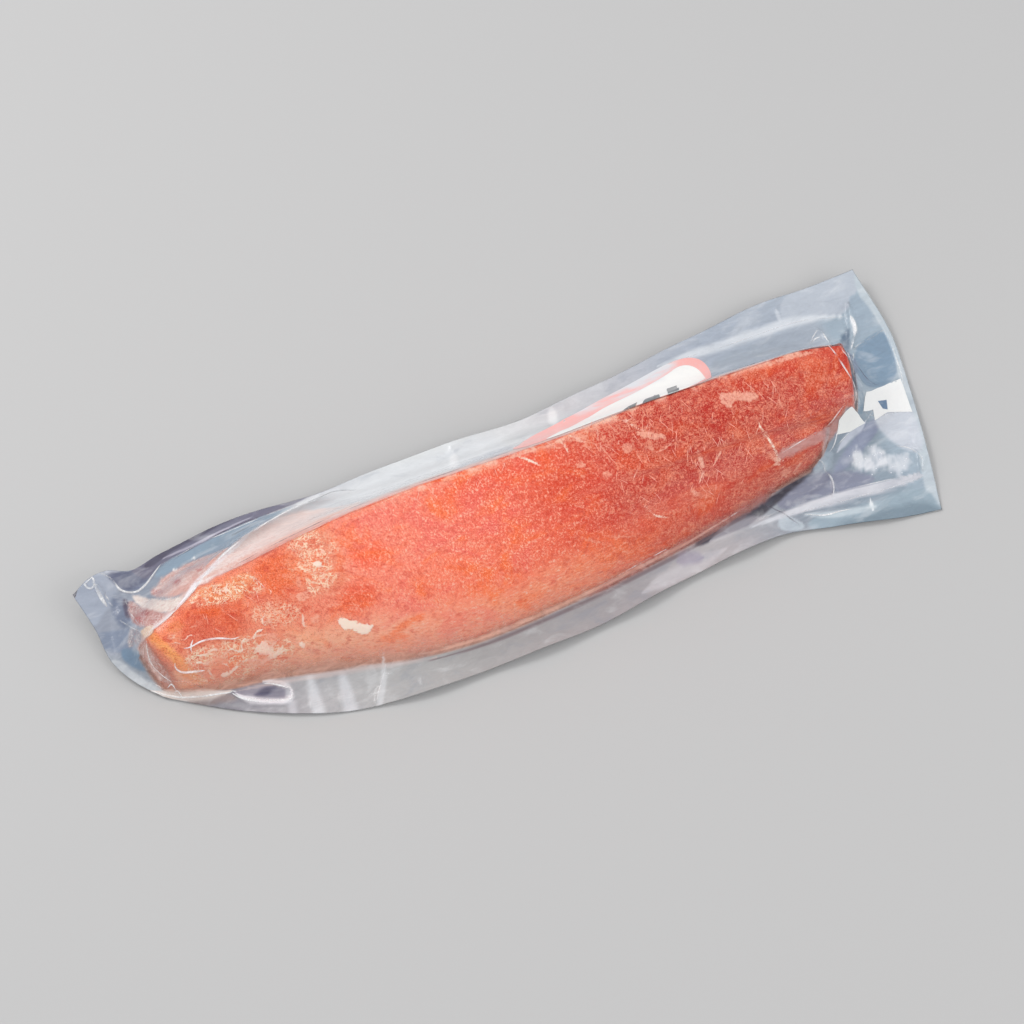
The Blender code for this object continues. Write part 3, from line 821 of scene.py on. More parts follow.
def frozen_flesh():
    """Coral flesh with short pale fibres, darker blood marks, bubbles and frost."""
    made, tree, surface = new_material("frozen_flesh")
    uv = place(tree, "ShaderNodeUVMap", {}, uv_map="grain")
    flesh = stored(tree, "flesh", "Color")
    flank, frost, thick, fibre, craze, patchy, bubbly = (
        stored(tree, name) for name in ("flank", "frost", "thick", "fibre", "craze", "patchy", "bubbly")
    )
    # The fibres stand steeply on the face, and lie along the front flank.
    steep = noise(tree, stretched(tree, uv, (740.0, 500.0, 1.0), 0.2), 1.0, 3.0, 0.70, 0.8)
    level = noise(tree, stretched(tree, uv, (240.0, 700.0, 1.0), 0.12), 1.0, 3.0, 0.66, 0.6)
    lie = place(tree, "ShaderNodeMix", {0: product(tree, flank, 0.85), 2: steep, 3: level})
    drift = noise(tree, stretched(tree, uv, (24.0, 32.0, 1.0)), 1.0, 3.0, 0.6, 0.8)
    mottle = noise(tree, stretched(tree, uv, (140.0, 170.0, 1.0)), 1.0, 4.0, 0.68, 0.8)
    clots = noise(tree, uv, 62.0, 5.0, 0.66, 1.2)
    fine = noise(tree, uv, 1150.0, 2.0, 0.75)
    ice = grain_of(tree, uv, 700.0, 110.0, 230.0)

    # Where each mark shows: blood and warmth in the flesh, its fibres, its grain, and the ice.
    warm = product(tree, step_between(tree, drift, 0.49, 0.36, 0.62), adjusted(tree, patchy, -0.6, 1.0))
    rosy = product(tree, step_between(tree, drift, 0.51, 0.64, 0.34), adjusted(tree, patchy, -0.9, 1.0))
    bloody = product(tree, step_between(tree, mottle, 0.50, 0.34), adjusted(tree, patchy, 0.25, 0.34))
    milky = step_between(tree, mottle, 0.52, 0.68, 0.38)
    clotted = product(tree, step_between(tree, clots, 0.53, 0.62, 0.24), patchy)
    between_fibres = step_between(tree, lie, 0.48, 0.35, 0.34)
    in_places = maths(tree, "ADD", step_between(tree, mottle, 0.42, 0.60, 0.8), 0.4)
    fibres = product(tree, step_between(tree, lie, 0.50, 0.63), fibre, in_places)
    grainy = adjusted(tree, patchy, 0.80, 0.25)
    dark_grain = product(tree, step_between(tree, fine, 0.48, 0.34, 0.50), grainy)
    pale_grain = product(tree, step_between(tree, fine, 0.53, 0.68, 0.50), grainy)
    blobs = product(tree, ice["Bubbles"], bubbly, 0.66)
    threads = product(tree, ice["Threads"], craze, 0.95)
    colour = marked(tree, flesh, (
        (warm, (255, 118, 48)),
        (rosy, (240, 96, 96)),
        (bloody, (200, 42, 22)),
        (milky, (252, 152, 124)),
        (clotted, (238, 112, 80)),
        (between_fibres, (184, 38, 28)),
        (product(tree, fibres, 0.60), (255, 200, 174)),
        (dark_grain, (132, 22, 14)),
        (pale_grain, (252, 156, 126)),
        (blobs, (248, 160, 130)),
    ))
    cream = mixed(tree, step_between(tree, craze, 0.55, 0.85), rgba((250, 176, 146)), rgba((255, 226, 196)))
    colour = mixed(tree, threads, colour, cream)

    # A crust of frost: ragged where it is thin, solid and whiter where it is thick.
    ragged = noise(tree, uv, 260.0, 4.0, 0.75, 1.2)
    ragged = adjusted(tree, ragged, 2.8, maths(tree, "ADD", frost, adjusted(tree, thick, 0.5, -1.88)))
    crust = step_between(tree, ragged, 0.34, adjusted(tree, thick, -0.25, 0.95))
    speckle = product(tree, maths(tree, "SUBTRACT", steep, 0.5), adjusted(tree, thick, -4.0, 4.6))
    crust = product(tree, crust, thick, maths(tree, "ADD", speckle, 1.05))
    crust = place(tree, "ShaderNodeClamp", {"Value": crust})
    white = mixed(tree, step_between(tree, thick, 0.5, 0.9), rgba((252, 184, 158)), rgba((255, 230, 212)))
    colour = mixed(tree, crust, colour, white)

    height = maths(tree, "ADD", product(tree, fibres, 0.5), product(tree, threads, 0.8))
    height = maths(tree, "ADD", height, maths(tree, "ADD", crust, blobs))
    bump = place(tree, "ShaderNodeBump", {"Height": height, "Strength": 0.5, "Distance": 0.0005})
    shader = place(tree, "ShaderNodeBsdfPrincipled", {
        "Base Color": colour,
        "Roughness": place(tree, "ShaderNodeMix", {0: crust, 2: 0.42, 3: 0.75}),
        "Normal": bump,
        "Subsurface Weight": 0.15,
        "Subsurface Radius": (1.0, 0.35, 0.2),
        "Subsurface Scale": 0.0025,
        "Specular IOR Level": 0.12,
    })
    feed(tree, surface, shader)
    return made


tuna_loin.data.materials.append(frozen_flesh())
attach(tuna_loin, "root")

# ---------------------------------------------------------------------------------------
# The pouch: two webs of tough clear film, welded all round. Air was drawn out of it, so the
# top web is tight over the loin, tents off its corners in stiff folds, and lies against the
# bottom web in a skirt. Frost, its own haze, and painted light and shade make the doubled film
# blue-grey to white.

SKIRT_THICKNESS = 1.0
LOWEST_SKIRT = 1.4
WAVE_HEIGHT = 1.3
WAVE_LENGTH = 86.0
WAVE_SLANT = 31.0  # the waves cross the skirt at a slant
RIPPLE_HEIGHT = 0.5  # finer ripples that cross the skirt
RIPPLE_LENGTH = 23.0
FILM_CLEARANCE = 0.25  # the film's own thickness and the frost under it
FLAT_WHERE_HIGHER = 7.0

TAUT_FOLD = (
    (-276, 2, 50),
    (-239, 20.5, 49),
    (-227, 31.5, 46),
    (-203, 44.5, 40),
    (-181, 53.5, 34),
    (-155, 62.5, 25),
    (-121, 71.5, 13),
)
TAUT_FOLD_SLOPE = 3.0
FOLD_BEHIND_RIDGE = 12.0
FOLD_RUN_OUT = 45.0

ALONG = ((0.0, 0.075, 10), (0.075, 0.86, 54), (0.86, 0.94, 10), (0.94, 1.0, 6))
ACROSS = (2, 3, 4, 8, 6, 3, 2)
FINENESS = ((1, 500), (3, 260), (6, 160))  # the grid made finer in turn, and steps at each
SEAL_INSET = 9.0
SHOULDER_SHARE = 0.25
SUCTION = 0.070
UNDERSIDE_STEPS = 500


def sheet(u, v):
    """The flat pouch between its four edges, u along and v from front to back."""
    front, back = edge(FRONT_EDGE, 0, u), edge(BACK_EDGE, 0, u)
    left, right = edge(LEFT_EDGE, 1, v), edge(RIGHT_EDGE, 1, v)
    u, v = u[..., None], v[..., None]
    corners = (
        (1 - u) * (1 - v) * np.array(FRONT_EDGE[0])
        + u * (1 - v) * np.array(FRONT_EDGE[-1])
        + (1 - u) * v * np.array(BACK_EDGE[0])
        + u * v * np.array(BACK_EDGE[-1])
    )
    return (1 - v) * front + v * back + (1 - u) * left + u * right - corners


def fold_height(x, y):
    """Height that the taut fold holds the film up to, and 0 away from it."""
    stations = column(TAUT_FOLD, 0)
    line = smooth(stations, column(TAUT_FOLD, 1), x)
    crest = smooth(stations, column(TAUT_FOLD, 2), x)
    beside = (x > stations[0]) & (x < stations[-1])
    return np.where(beside, np.maximum(crest - TAUT_FOLD_SLOPE * np.abs(y - line), 0.0), 0.0)


def named_lines(x):
    """The y of the lines that run along the pouch between its edges, from front to back."""
    front, ridge, back, _ = loin_lines(x)
    front_edge = smooth(column(FRONT_EDGE, 0), column(FRONT_EDGE, 1), x)
    back_edge = smooth(column(BACK_EDGE, 0), column(BACK_EDGE, 1), x)
    shoulder = front + SHOULDER_SHARE * (ridge - front)
    fold = np.maximum(smooth(column(TAUT_FOLD, 0), column(TAUT_FOLD, 1), x), ridge + FOLD_BEHIND_RIDGE)
    behind = fold + ease((x - TAUT_FOLD[-1][0]) / FOLD_RUN_OUT) * (back - fold)
    return front_edge + SEAL_INSET, front, shoulder, ridge, behind, back_edge - SEAL_INSET


def shares_across(u, finer):
    """Where each line along the pouch crosses the station at u, as shares of its width."""
    samples = np.linspace(0, 1, 201)
    points = sheet(np.full_like(samples, u), samples)
    lines = [np.interp(0, points[:, 1] - line, samples) for line in named_lines(points[:, 0])]
    crossed = np.array([0.0, *lines, 1.0])
    even = np.cumsum([0, *ACROSS]) / sum(ACROSS)
    ends = even + ease(min(u, 1 - u) / 0.06) * (crossed - even)
    runs = [np.linspace(a, b, n * finer, endpoint=False) for a, b, n in zip(ends, ends[1:], ACROSS)]
    return np.append(np.concatenate(runs), 1.0)


def flat_pouch(finer):
    """The pouch laid flat, as a grid whose lines follow the seals, the loin's foot and ridge."""
    runs = [np.linspace(start, end, count * finer, endpoint=False) for start, end, count in ALONG]
    along = np.append(np.concatenate(runs), 1.0)
    across = np.array([shares_across(u, finer) for u in along])
    return sheet(np.broadcast_to(along[:, None], across.shape), across)


def drawn_tight(points, height, low, high, pull, steps):
    """Heights of a web of film stretched between its edges, kept over low and under high."""
    height = np.clip(height, low, high)
    plan = points[..., :2]
    back_step = np.linalg.norm(plan[1:-1, 1:-1] - plan[:-2, 1:-1], axis=-1)
    next_step = np.linalg.norm(plan[2:, 1:-1] - plan[1:-1, 1:-1], axis=-1)
    near_step = np.linalg.norm(plan[1:-1, 1:-1] - plan[1:-1, :-2], axis=-1)
    far_step = np.linalg.norm(plan[1:-1, 2:] - plan[1:-1, 1:-1], axis=-1)
    weights = (
        2 / (back_step * (back_step + next_step)),
        2 / (next_step * (back_step + next_step)),
        2 / (near_step * (near_step + far_step)),
        2 / (far_step * (near_step + far_step)),
    )
    for _ in range(steps):
        around = (height[:-2, 1:-1], height[2:, 1:-1], height[1:-1, :-2], height[1:-1, 2:])
        level = sum(w * h for w, h in zip(weights, around)) + pull
        height[1:-1, 1:-1] = np.clip(level / sum(weights), low[1:-1, 1:-1], high[1:-1, 1:-1])
    return height


def made_finer(height, times):
    """The same heights on a grid with `times` as many spaces each way."""
    for axis in range(2):
        count = height.shape[axis]
        at = np.linspace(0, count - 1, (count - 1) * times + 1)
        i = np.minimum(at.astype(int), count - 2)
        share = (at - i)[:, None] if axis == 0 else at - i
        height = np.take(height, i, axis) * (1 - share) + np.take(height, i + 1, axis) * share
    return height


def pouch_webs():
    """The points of the top web and the bottom web, on the finest grid."""
    height, times = None, 1
    for finer, steps in FINENESS:
        flat = flat_pouch(finer)
        x, y = flat[..., 0], flat[..., 1]
        loin = loin_height(x, y)
        waves = WAVE_HEIGHT * np.sin(2 * np.pi * x / WAVE_LENGTH + y / WAVE_SLANT)
        skirt = np.maximum(flat[..., 2] + waves, LOWEST_SKIRT)
        held_up = np.maximum(np.maximum(loin, fold_height(x, y)), skirt)
        held_up[[0, -1]], held_up[:, [0, -1]] = skirt[[0, -1]], skirt[:, [0, -1]]
        start = held_up if height is None else made_finer(height, finer // times)
        height = drawn_tight(flat, start, held_up, np.full(skirt.shape, np.inf), -SUCTION, steps)
        times = finer
    underside = np.where(loin > FLAT_WHERE_HIGHER, 0.0, skirt - SKIRT_THICKNESS)
    bottom = flat.copy()
    bottom[..., 2] = underside
    coarse = (slice(None, None, finer), slice(None, None, finer))
    low = np.zeros(underside[coarse].shape)
    highest = underside[coarse]
    bottom[coarse + (2,)] = drawn_tight(bottom[coarse], highest, low, highest, SUCTION, UNDERSIDE_STEPS)
    top = flat.copy()
    top[..., 2] = height
    return top, bottom, loin, skirt


top, bottom, loin_below, skirt_level = pouch_webs()
film_x, film_y = top[..., 0].copy(), top[..., 1].copy()
gap = top[..., 2] - loin_below  # how far the film stands off the flesh

# The skirt's colour along its back and its front: x, colour and haze. The back's near-white middle is painted
# reflection.
BACK_SKIRT = (
    (-300, (164, 170, 184), 0.90),
    (-250, (150, 160, 175), 0.88),
    (-185, (156, 168, 185), 0.88),
    (-150, (196, 198, 208), 0.91),
    (-90, (230, 232, 234), 0.93),
    (20, (230, 231, 232), 0.93),
    (115, (206, 207, 214), 0.90),
    (160, (190, 197, 209), 0.88),
    (300, (186, 195, 206), 0.87),
)
FRONT_SKIRT = (
    (-290, (160, 167, 177), 0.86),
    (-240, (162, 158, 166), 0.84),
    (-185, (192, 190, 192), 0.87),
    (-120, (188, 186, 185), 0.90),
    (-20, (176, 170, 170), 0.92),
    (60, (176, 169, 171), 0.92),
    (130, (192, 186, 188), 0.92),
    (200, (158, 168, 180), 0.86),
    (290, (160, 176, 189), 0.86),
)
RIGHT_END_TINT, RIGHT_END_HAZE = (174, 190, 203), 0.88
CONTACT_TINT, CONTACT_HAZE = (248, 200, 184), 0.008
RIDGE_TINT, RIDGE_HAZE, RIDGE_BAND = (234, 204, 198), 0.82, 7.0  # film just behind the ridge
# The veil's tint is pale flesh, painted light: near the foot it lays the colour of lit flesh over the flank,
# which stands in shade.
VEIL_TINT, VEIL_HAZE, VEIL_GAP = (255, 188, 160), 0.22, 14.0  # thicker haze where the film stands off
FOOT_VEIL = ((-290, 0.45), (-60, 0.42), (60, 0.20), (270, 0.15))  # and near its foot
FOOT_VEIL_WIDTH = 18.0
FILM_LEVEL = 0.92  # the film is this much darker than the colours it should look

# Where the film leaves the flesh along the front: x and y.
FOOT_LINE = (
    (-300, -12),
    (-277, -35),
    (-243, -47),
    (-208, -52.5),
    (-170, -60.5),
    (-148, -65.8),
    (-121, -73.4),
    (-93, -78.4),
    (-64, -81),
    (-33, -80.8),
    (0, -78.4),
    (47, -74.6),
    (97, -68.2),
    (148, -58.6),
    (184, -50.2),
    (202, -46.2),
    (214, -44),
    (228, -36),
    (243, -22),
    (250, -16),
)

# Areas of the skirt, painted in order: outline, softness, colour and haze.
SKIRT_AREAS = (
    # The left tip, in painted light at its pale corner and painted shade down to the hollow beside the loin's
    # end.
    (((-324, 72), (-303, 78), (-290, 62), (-288, 50), (-304, 40), (-316, 30)), 3, (176, 184, 199), 0.92),
    (((-292, 64), (-282, 62), (-277, 57), (-272, 51), (-280, 49), (-285, 51), (-289, 58)), 1.2,
     (112, 122, 150), 0.92),
    (((-296, 70), (-284, 66), (-277, 60), (-282, 62), (-290, 65)), 1.2, (196, 200, 212), 0.92),
    (((-297, 46), (-292, 52), (-285, 46), (-287, 22), (-292, 20), (-298, 31)), 4, (122, 132, 154), 0.90),
    (((-315, 28), (-307, 28), (-298, 25), (-288, 18), (-284, -2), (-290, 1), (-301, 9), (-312, 14)), 3,
     (142, 153, 174), 0.90),
    (((-288, 47), (-284, 43), (-287, 34), (-286, 24), (-291, 30)), 2, (92, 84, 104), 0.92),
    (((-316, 14), (-304, 6), (-288, -19), (-270, -42), (-280, -52), (-318, -4)), 4, (170, 177, 187), 0.88),
    (((-300, 12), (-292, 2), (-288, -8), (-288, -16), (-297, -6), (-303, 6)), 2.5, (124, 148, 172), 0.90),
    (((-310, 8), (-303, 3), (-298, -8), (-290, -20), (-280, -32), (-266, -44), (-272, -48), (-290, -30),
      (-304, -10), (-312, 2)), 2, (206, 210, 214), 0.90),
    (((-270, -40), (-256, -46), (-240, -49), (-236, -56), (-270, -46)), 3, (178, 160, 158), 0.80),
    # The dark band where the back edge's two webs part, and the clear film in front of it.
    (((-294, 67), (-289, 57), (-284, 51), (-274, 50), (-262, 58), (-280, 66)), 3, (108, 114, 138), 0.92),
    (((-282, 76), (-268, 52), (-254, 63), (-230, 68), (-187, 70), (-145, 70), (-118, 76), (-110, 86),
      (-280, 86)), 1.4, (122, 120, 140), 0.90),
    (((-268, 66), (-240, 76), (-200, 80), (-160, 82), (-160, 80), (-200, 77), (-240, 72), (-262, 62)), 1,
     (92, 88, 108), 0.92),
    (((-256, 66), (-236, 70), (-206, 73), (-170, 74), (-206, 71), (-236, 68)), 0.6, (188, 184, 200), 0.92),
    (((-258, 62), (-262, 52), (-242, 56), (-228, 57), (-212, 52), (-201, 45), (-176, 57), (-158, 64),
      (-146, 68), (-187, 71), (-228, 68)), 2.5, (148, 168, 186), 0.92),
    # The pocket pinched in the skirt by the loin's left end.
    (((-242, -48), (-235, -54), (-223, -62), (-206, -69), (-199, -64), (-202, -57), (-216, -51)), 3,
     (168, 160, 172), 0.86),
    (((-226, -55), (-216, -54), (-208, -56), (-209, -59), (-217, -59), (-223, -57)), 3, (96, 92, 116), 0.90),
    (((-212, -56), (-203, -58), (-203, -63), (-212, -63), (-218, -61)), 3, (150, 146, 160), 0.90),
    # Painted soft highlights on the skirt beside it, where the film bends.
    (((-187, -55), (-180, -57), (-184, -102), (-195, -102)), 4.5, (226, 226, 229), 0.9),
    (((-166, -62), (-158, -64), (-161, -110), (-174, -110)), 4.5, (220, 220, 223), 0.9),
    (((-203, -55), (-198, -56), (-203, -98), (-210, -98)), 4, (208, 206, 211), 0.9),
    # The flat panels behind the loin's wide end, and the band outside the seal.
    (((176, 73), (242, 74), (268, 70), (266, 50), (237, 44), (176, 36)), 4, (178, 187, 199), 0.90),
    (((256, 106), (316, 104), (314, 90), (302, 74), (288, 72), (261, 78), (244, 79)), 2, (198, 205, 215),
     0.92),
    (((316, 104), (324, 70), (324, 45), (310, -36), (293, -108), (284, -92), (295, -54), (304, -18),
      (318, 48), (308, 82)), 2, (204, 214, 221), 0.92),
    (((289, 42), (301, 47), (318, 48), (315, 28), (308, 5), (280, 4), (274, 12)), 2, (140, 164, 186), 0.90),
    (((302, 84), (311, 80), (316, 52), (302, 50), (292, 46), (297, 62)), 2, (172, 188, 202), 0.90),
    (((280, 52), (294, 63), (289, 50), (285, 43), (277, 32)), 1.6, (112, 130, 150), 0.92),
    (((272, 34), (284, 42), (282, 24), (276, 14), (268, 8), (269, 20)), 2, (128, 132, 156), 0.90),
    (((264, 0), (276, 0), (270, -10), (266, -17), (257, -16)), 1.2, (120, 146, 166), 0.92),
    # Round the lobes: the lavender hollow, the painted shadow along the loin's foot under its overhang, the
    # pale seal and the dull corner.
    (((268, -20), (284, -18), (280, -25), (262, -36), (243, -47), (229, -49), (232, -43), (248, -33)), 3,
     (152, 160, 184), 0.90),
    (((282, -4), (304, -14), (306, -34), (298, -60), (286, -50), (279, -38), (275, -24)), 4,
     (216, 221, 230), 0.93),
    (((179, -64), (183, -51), (213, -46), (240, -48), (262, -64), (237, -66), (207, -62)), 4,
     (148, 152, 172), 0.90),
    (((179, -54), (213, -47), (225, -46), (226, -52), (207, -61), (179, -62)), 3, (136, 138, 158), 0.90),
    # A dark painted shadow along the foot, under the loin's overhanging flank.
    (((106, -67), (131, -61.8), (149, -58.3), (168, -54.6), (186, -50), (203, -46), (214, -42),
      (214, -45), (204, -49), (188, -53.5), (172, -60), (152, -66), (131, -67), (112, -69)), 1.8,
     (56, 52, 66), 0.93),
    (((212, -45), (221, -39), (230, -35), (235, -36), (228, -46), (221, -46)), 1.6, (172, 186, 198), 0.86),
    (((290, -72), (290, -76), (237, -74), (195, -69), (179, -67), (181, -63), (237, -65), (273, -69)),
     1.6, (214, 215, 222), 0.92),
    (((196, -74), (240, -81), (287, -78), (293, -106), (270, -108), (219, -97), (193, -85)), 3,
     (166, 184, 196), 0.90),
    (((206, -86), (284, -90), (294, -108), (255, -108), (214, -96)), 8, (136, 154, 167), 0.90),
    (((178, -64), (185, -68), (194, -81), (180, -80), (172, -74)), 2, (202, 212, 220), 0.92),
)

# Areas where the film tents off the flesh: outline, softness, colour and haze. The two grey-white areas
# behind the ridge's middle are painted reflection, and the grey-blue one by the label is painted shade.
TENT_AREAS = (
    (((-203, 45), (-167, 61), (-144, 71), (-120, 75), (-98, 72), (-104, 48), (-141, 50), (-174, 46)), 7,
     (228, 230, 233), 0.93),
    (((-241, 14), (-228, 24), (-218, 34), (-203, 43), (-179, 54), (-150, 62), (-130, 55), (-98, 33),
      (-158, 26), (-204, 20)), 3.5, (255, 230, 222), 0.88),
    (((-120, 75), (0, 75), (14, 60), (0, 44), (-30, 38), (-110, 40)), 8, (234, 236, 238), 0.94),
    (((-44, 37), (-12, 52), (18, 53), (12, 33), (-24, 33)), 9, (184, 191, 204), 0.92),
    (((-285, 44), (-279, 36), (-270, 14), (-264, 4), (-270, 0), (-281, 2), (-288, 24)), 2,
     (214, 164, 158), 0.72),
    (((-286, 22), (-282, 22), (-279, 12), (-283, 8)), 1.4, (204, 108, 96), 0.7),
    (((-280, 24), (-274, 20), (-274, 12), (-279, 14)), 1.4, (190, 122, 120), 0.6),
    (((-269, 42), (-262, 46), (-255, 52), (-240, 54), (-228, 55), (-214, 50), (-204, 44), (-218, 34),
      (-228, 24), (-240, 15), (-254, 16), (-264, 28)), 2, (240, 190, 178), 0.82),
    (((-268, 46), (-263, 44), (-258, 30), (-264, 34)), 1.2, (214, 130, 122), 0.80),
    (((-250, 37), (-246, 36), (-246, 27), (-251, 29)), 1.2, (216, 130, 122), 0.80),
    (((-233, 36), (-227, 35), (-229, 29), (-233, 31)), 1, (216, 122, 112), 0.80),
    (((-281, 48), (-277, 44), (-271, 38), (-264, 24), (-257, 16), (-248, 13), (-253, 8), (-261, 5),
      (-268, 10), (-276, 24), (-280, 38)), 1.4, (244, 228, 218), 0.90),
    (((-285, 6), (-279, 4), (-273, 0), (-279, -5), (-285, 0)), 1.4, (240, 210, 182), 0.85),
    (((-289, 20), (-284, 1), (-290, 2), (-297, 10)), 1.4, (156, 154, 162), 0.90),
    (((-290, 2), (-283, -3), (-282, -12), (-278, -22), (-275, -31), (-278, -31), (-284, -23),
      (-289, -12)), 1.4, (206, 150, 136), 0.62),
    (((-285, -4), (-283, -5), (-285, -16), (-280, -26), (-283, -25), (-287, -16)), 0.8, (226, 190, 178),
     0.75),
    (((20, -75), (60, -71), (110, -62.5), (150, -55), (178, -48), (182, -51), (150, -59), (110, -66),
      (60, -74), (24, -78)), 3, (230, 168, 160), 0.34),
    (((256, -12), (244, -19), (217, -29), (186, -32), (186, -38), (212, -34), (230, -31), (241, -26)),
     1.6, (226, 172, 164), 0.60),
    (((231, -25), (235, -23), (229, -33), (221, -41), (226, -31)), 1.4, (228, 198, 194), 0.60),
)

# Painted highlights, soft bright places where the film turns to the light, and a painted shadow line along
# the loin's foot: path, half width, colour and strength.
FILM_HIGHLIGHTS_AND_SHADOWS = (
    (((-256, 6), (-249, 10), (-243, 14), (-238, 18), (-228, 24), (-219, 31), (-209, 38), (-201, 42),
      (-188, 50)), 2.4, (250, 242, 244), 1),
    (((-279, -2), (-272, 0), (-265, 2), (-258, 5)), 1.4, (242, 222, 220), 0.9),
    (((-236, 20), (-204, 22), (-160, 27), (-120, 33)), 3.5, (238, 178, 160), 0.6),
    (((-237, -51), (-233, -55), (-225, -60), (-215, -64), (-205, -68), (-200, -66), (-199, -61)), 2.4,
     (252, 246, 250), 1),
    (((-199, -61), (-203, -57), (-210, -53), (-216, -51)), 1.5, (250, 240, 240), 0.9),
    (((-34, 44), (-29, 58), (-25, 70)), 3, (252, 252, 253), 0.9),
    (((52, 62), (54, 69), (56, 77)), 3.5, (252, 252, 252), 0.9),
    (((-150, 64), (-140, 70), (-128, 74)), 4, (246, 247, 249), 0.8),
    (((247, 94), (246, 88), (246, 82)), 1.6, (232, 236, 241), 0.6),
    (((143, 80), (190, 81), (249, 80), (275, 76), (294, 70)), 4, (232, 236, 241), 0.9),
    (((297, 67), (297, 60), (296, 56), (293, 52)), 1.9, (254, 254, 255), 1),
    (((316, 50), (317, 38), (315, 25), (313, 11)), 1.2, (206, 220, 230), 0.8),
    (((288, -71), (254, -68), (234, -67), (214, -66), (194, -66), (174, -66), (153, -67)), 2.4,
     (226, 226, 232), 0.9),
    (((245, -78), (244, -82), (243, -87)), 1.5, (246, 250, 252), 1),
    (((194, -70), (213, -79), (230, -82), (248, -84)), 2.5, (216, 226, 232), 0.8),
    (((60, -86), (90, -81), (130, -76)), 5, (214, 208, 211), 0.7),
    (((120, -68), (148, -63), (170, -64)), 3, (218, 211, 215), 0.6),
    (((-292, -24), (-283, -31), (-274, -37), (-264, -42), (-254, -46), (-246, -48), (-238, -49)), 2,
     (250, 232, 222), 0.95),
    (((-131, -66), (-135, -77), (-139, -84), (-152, -106)), 2.2, (228, 228, 230), 0.7),
    (((237, -36), (243, -32), (251, -28), (262, -24), (268, -20)), 2, (214, 218, 230), 0.9),
    (((-236, -50), (-208, -54), (-170, -62), (-148, -67), (-121, -75), (-96, -79.5)), 1.2,
     (232, 206, 200), 0.6),
    (((-118, -73), (-93, -76.8), (-64, -79.4), (-33, -79.2), (0, -76.9), (47, -73), (97, -66.7),
      (148, -57)), 1, (248, 190, 166), 0.55),
    # A painted shadow line along the loin's foot.
    (((-110, -78), (-93, -80.8), (-64, -83.2), (-33, -83), (0, -80.6), (47, -76.8), (97, -70.4),
      (152, -60.4)), 1.1, (122, 100, 104), 0.7),
    (((92, -74), (100, -73), (112, -76)), 4, (168, 158, 176), 0.7),
    (((-231, 59), (-229, 57)), 1.2, (250, 248, 246), 1),
    (((-247, 55), (-245, 53)), 1.2, (250, 248, 246), 1),
)

FROST_CLOUD = (  # outline and how thickly the frost lies
    (((249, -37), (254, -35), (258, -38), (257, -46), (250, -53), (246, -47)), 1),
    (((257, -37), (264, -36), (270, -41), (272, -50), (266, -57), (257, -58), (252, -52)), 1),
    (((269, -50), (279, -49), (288, -54), (289, -62), (281, -67), (271, -63)), 0.8),
)


def film_paint():
    """The film's colour and haze at each point, and the frost cloud's share."""
    x, y = film_x, film_y
    front, ridge, back, _ = loin_lines(x)
    back_skirt, front_skirt = (
        np.dstack([graded(rows, 1, x), 255 * smooth(column(rows, 0), column(rows, 2), x)])
        for rows in (BACK_SKIRT, FRONT_SKIRT)
    )
    behind = ease((y - (front + back) / 2) / 20.0 + 0.5)[..., None]
    paint = front_skirt + behind * (back_skirt - front_skirt)
    left_end, right_end = loin_ends(y)
    foot = smooth(*zip(*FOOT_LINE), x)
    in_front = ease((ridge + 1.5 - y) / 1.5)
    behind_ridge = (1 - in_front) * ease((loin_below - 3.0) / 5.0) * ease(1 - (y - ridge - 2.0) / RIDGE_BAND)
    between_ends = ease((right_end + 1 - x) / 2) * ease((x - left_end + 3) / 3)
    on_flesh = in_front * ease((y - foot) / 1.5 + 0.5) * between_ends
    veil = VEIL_HAZE * ease((gap - 2.0) / VEIL_GAP)
    veil = np.maximum(veil, smooth(*zip(*FOOT_VEIL), x) * ease(1 - (y - foot) / FOOT_VEIL_WIDTH) ** 1.5)
    layers = [(ease((x - 268.0) / 12.0), RIGHT_END_TINT, RIGHT_END_HAZE)]
    layers += [(inside(x, y, outline, soft, soft / 5, 7.0, 200 + k), colour, haze)
               for k, (outline, soft, colour, haze) in enumerate(SKIRT_AREAS)]
    layers.append((behind_ridge, RIDGE_TINT, RIDGE_HAZE))
    layers.append((on_flesh, CONTACT_TINT, CONTACT_HAZE))
    layers.append((on_flesh * veil, VEIL_TINT, 1.0))
    tents = [(inside(x, y, outline, 1.3 * soft, 0.6 + soft / 5, 5.0, 250 + k), colour, haze)
             for k, (outline, soft, colour, haze) in enumerate(TENT_AREAS)]
    layers += tents
    frosted = np.max(column(tents, 0), axis=0) * ease((-150.0 - x) / 60.0)
    layers += [(strength * ease(1.4 * near_path(x, y, path, 1.5 * width)), colour, 0.95)
               for path, width, colour, strength in FILM_HIGHLIGHTS_AND_SHADOWS]
    lobes = [share * inside(x, y, outline, 4.0, 3.5, 5.0, 300) for outline, share in FROST_CLOUD]
    cloud = np.max(lobes, axis=0) * ease(0.9 + 0.9 * rough_hills(x, y / 1.6, 6.0, 310))
    layers.append((cloud, (234, 236, 241), 0.97))
    shade = cloud * ease(0.4 + rough_hills(x, y, 6.0, 330)) * ease((x - 258.0) / 10.0)
    layers.append((shade, (192, 200, 212), 0.97))
    for mask, colour, haze in layers:
        paint = paint + mask[..., None] * (np.array([*colour, 255 * haze]) - paint)
    slope = (1 - in_front) * ease((film_height - skirt_level) / 8.0) * ease((x + 240.0) / 50.0)
    return FILM_LEVEL * linear(paint[..., :3]), paint[..., 3] / 255, cloud, slope, frosted


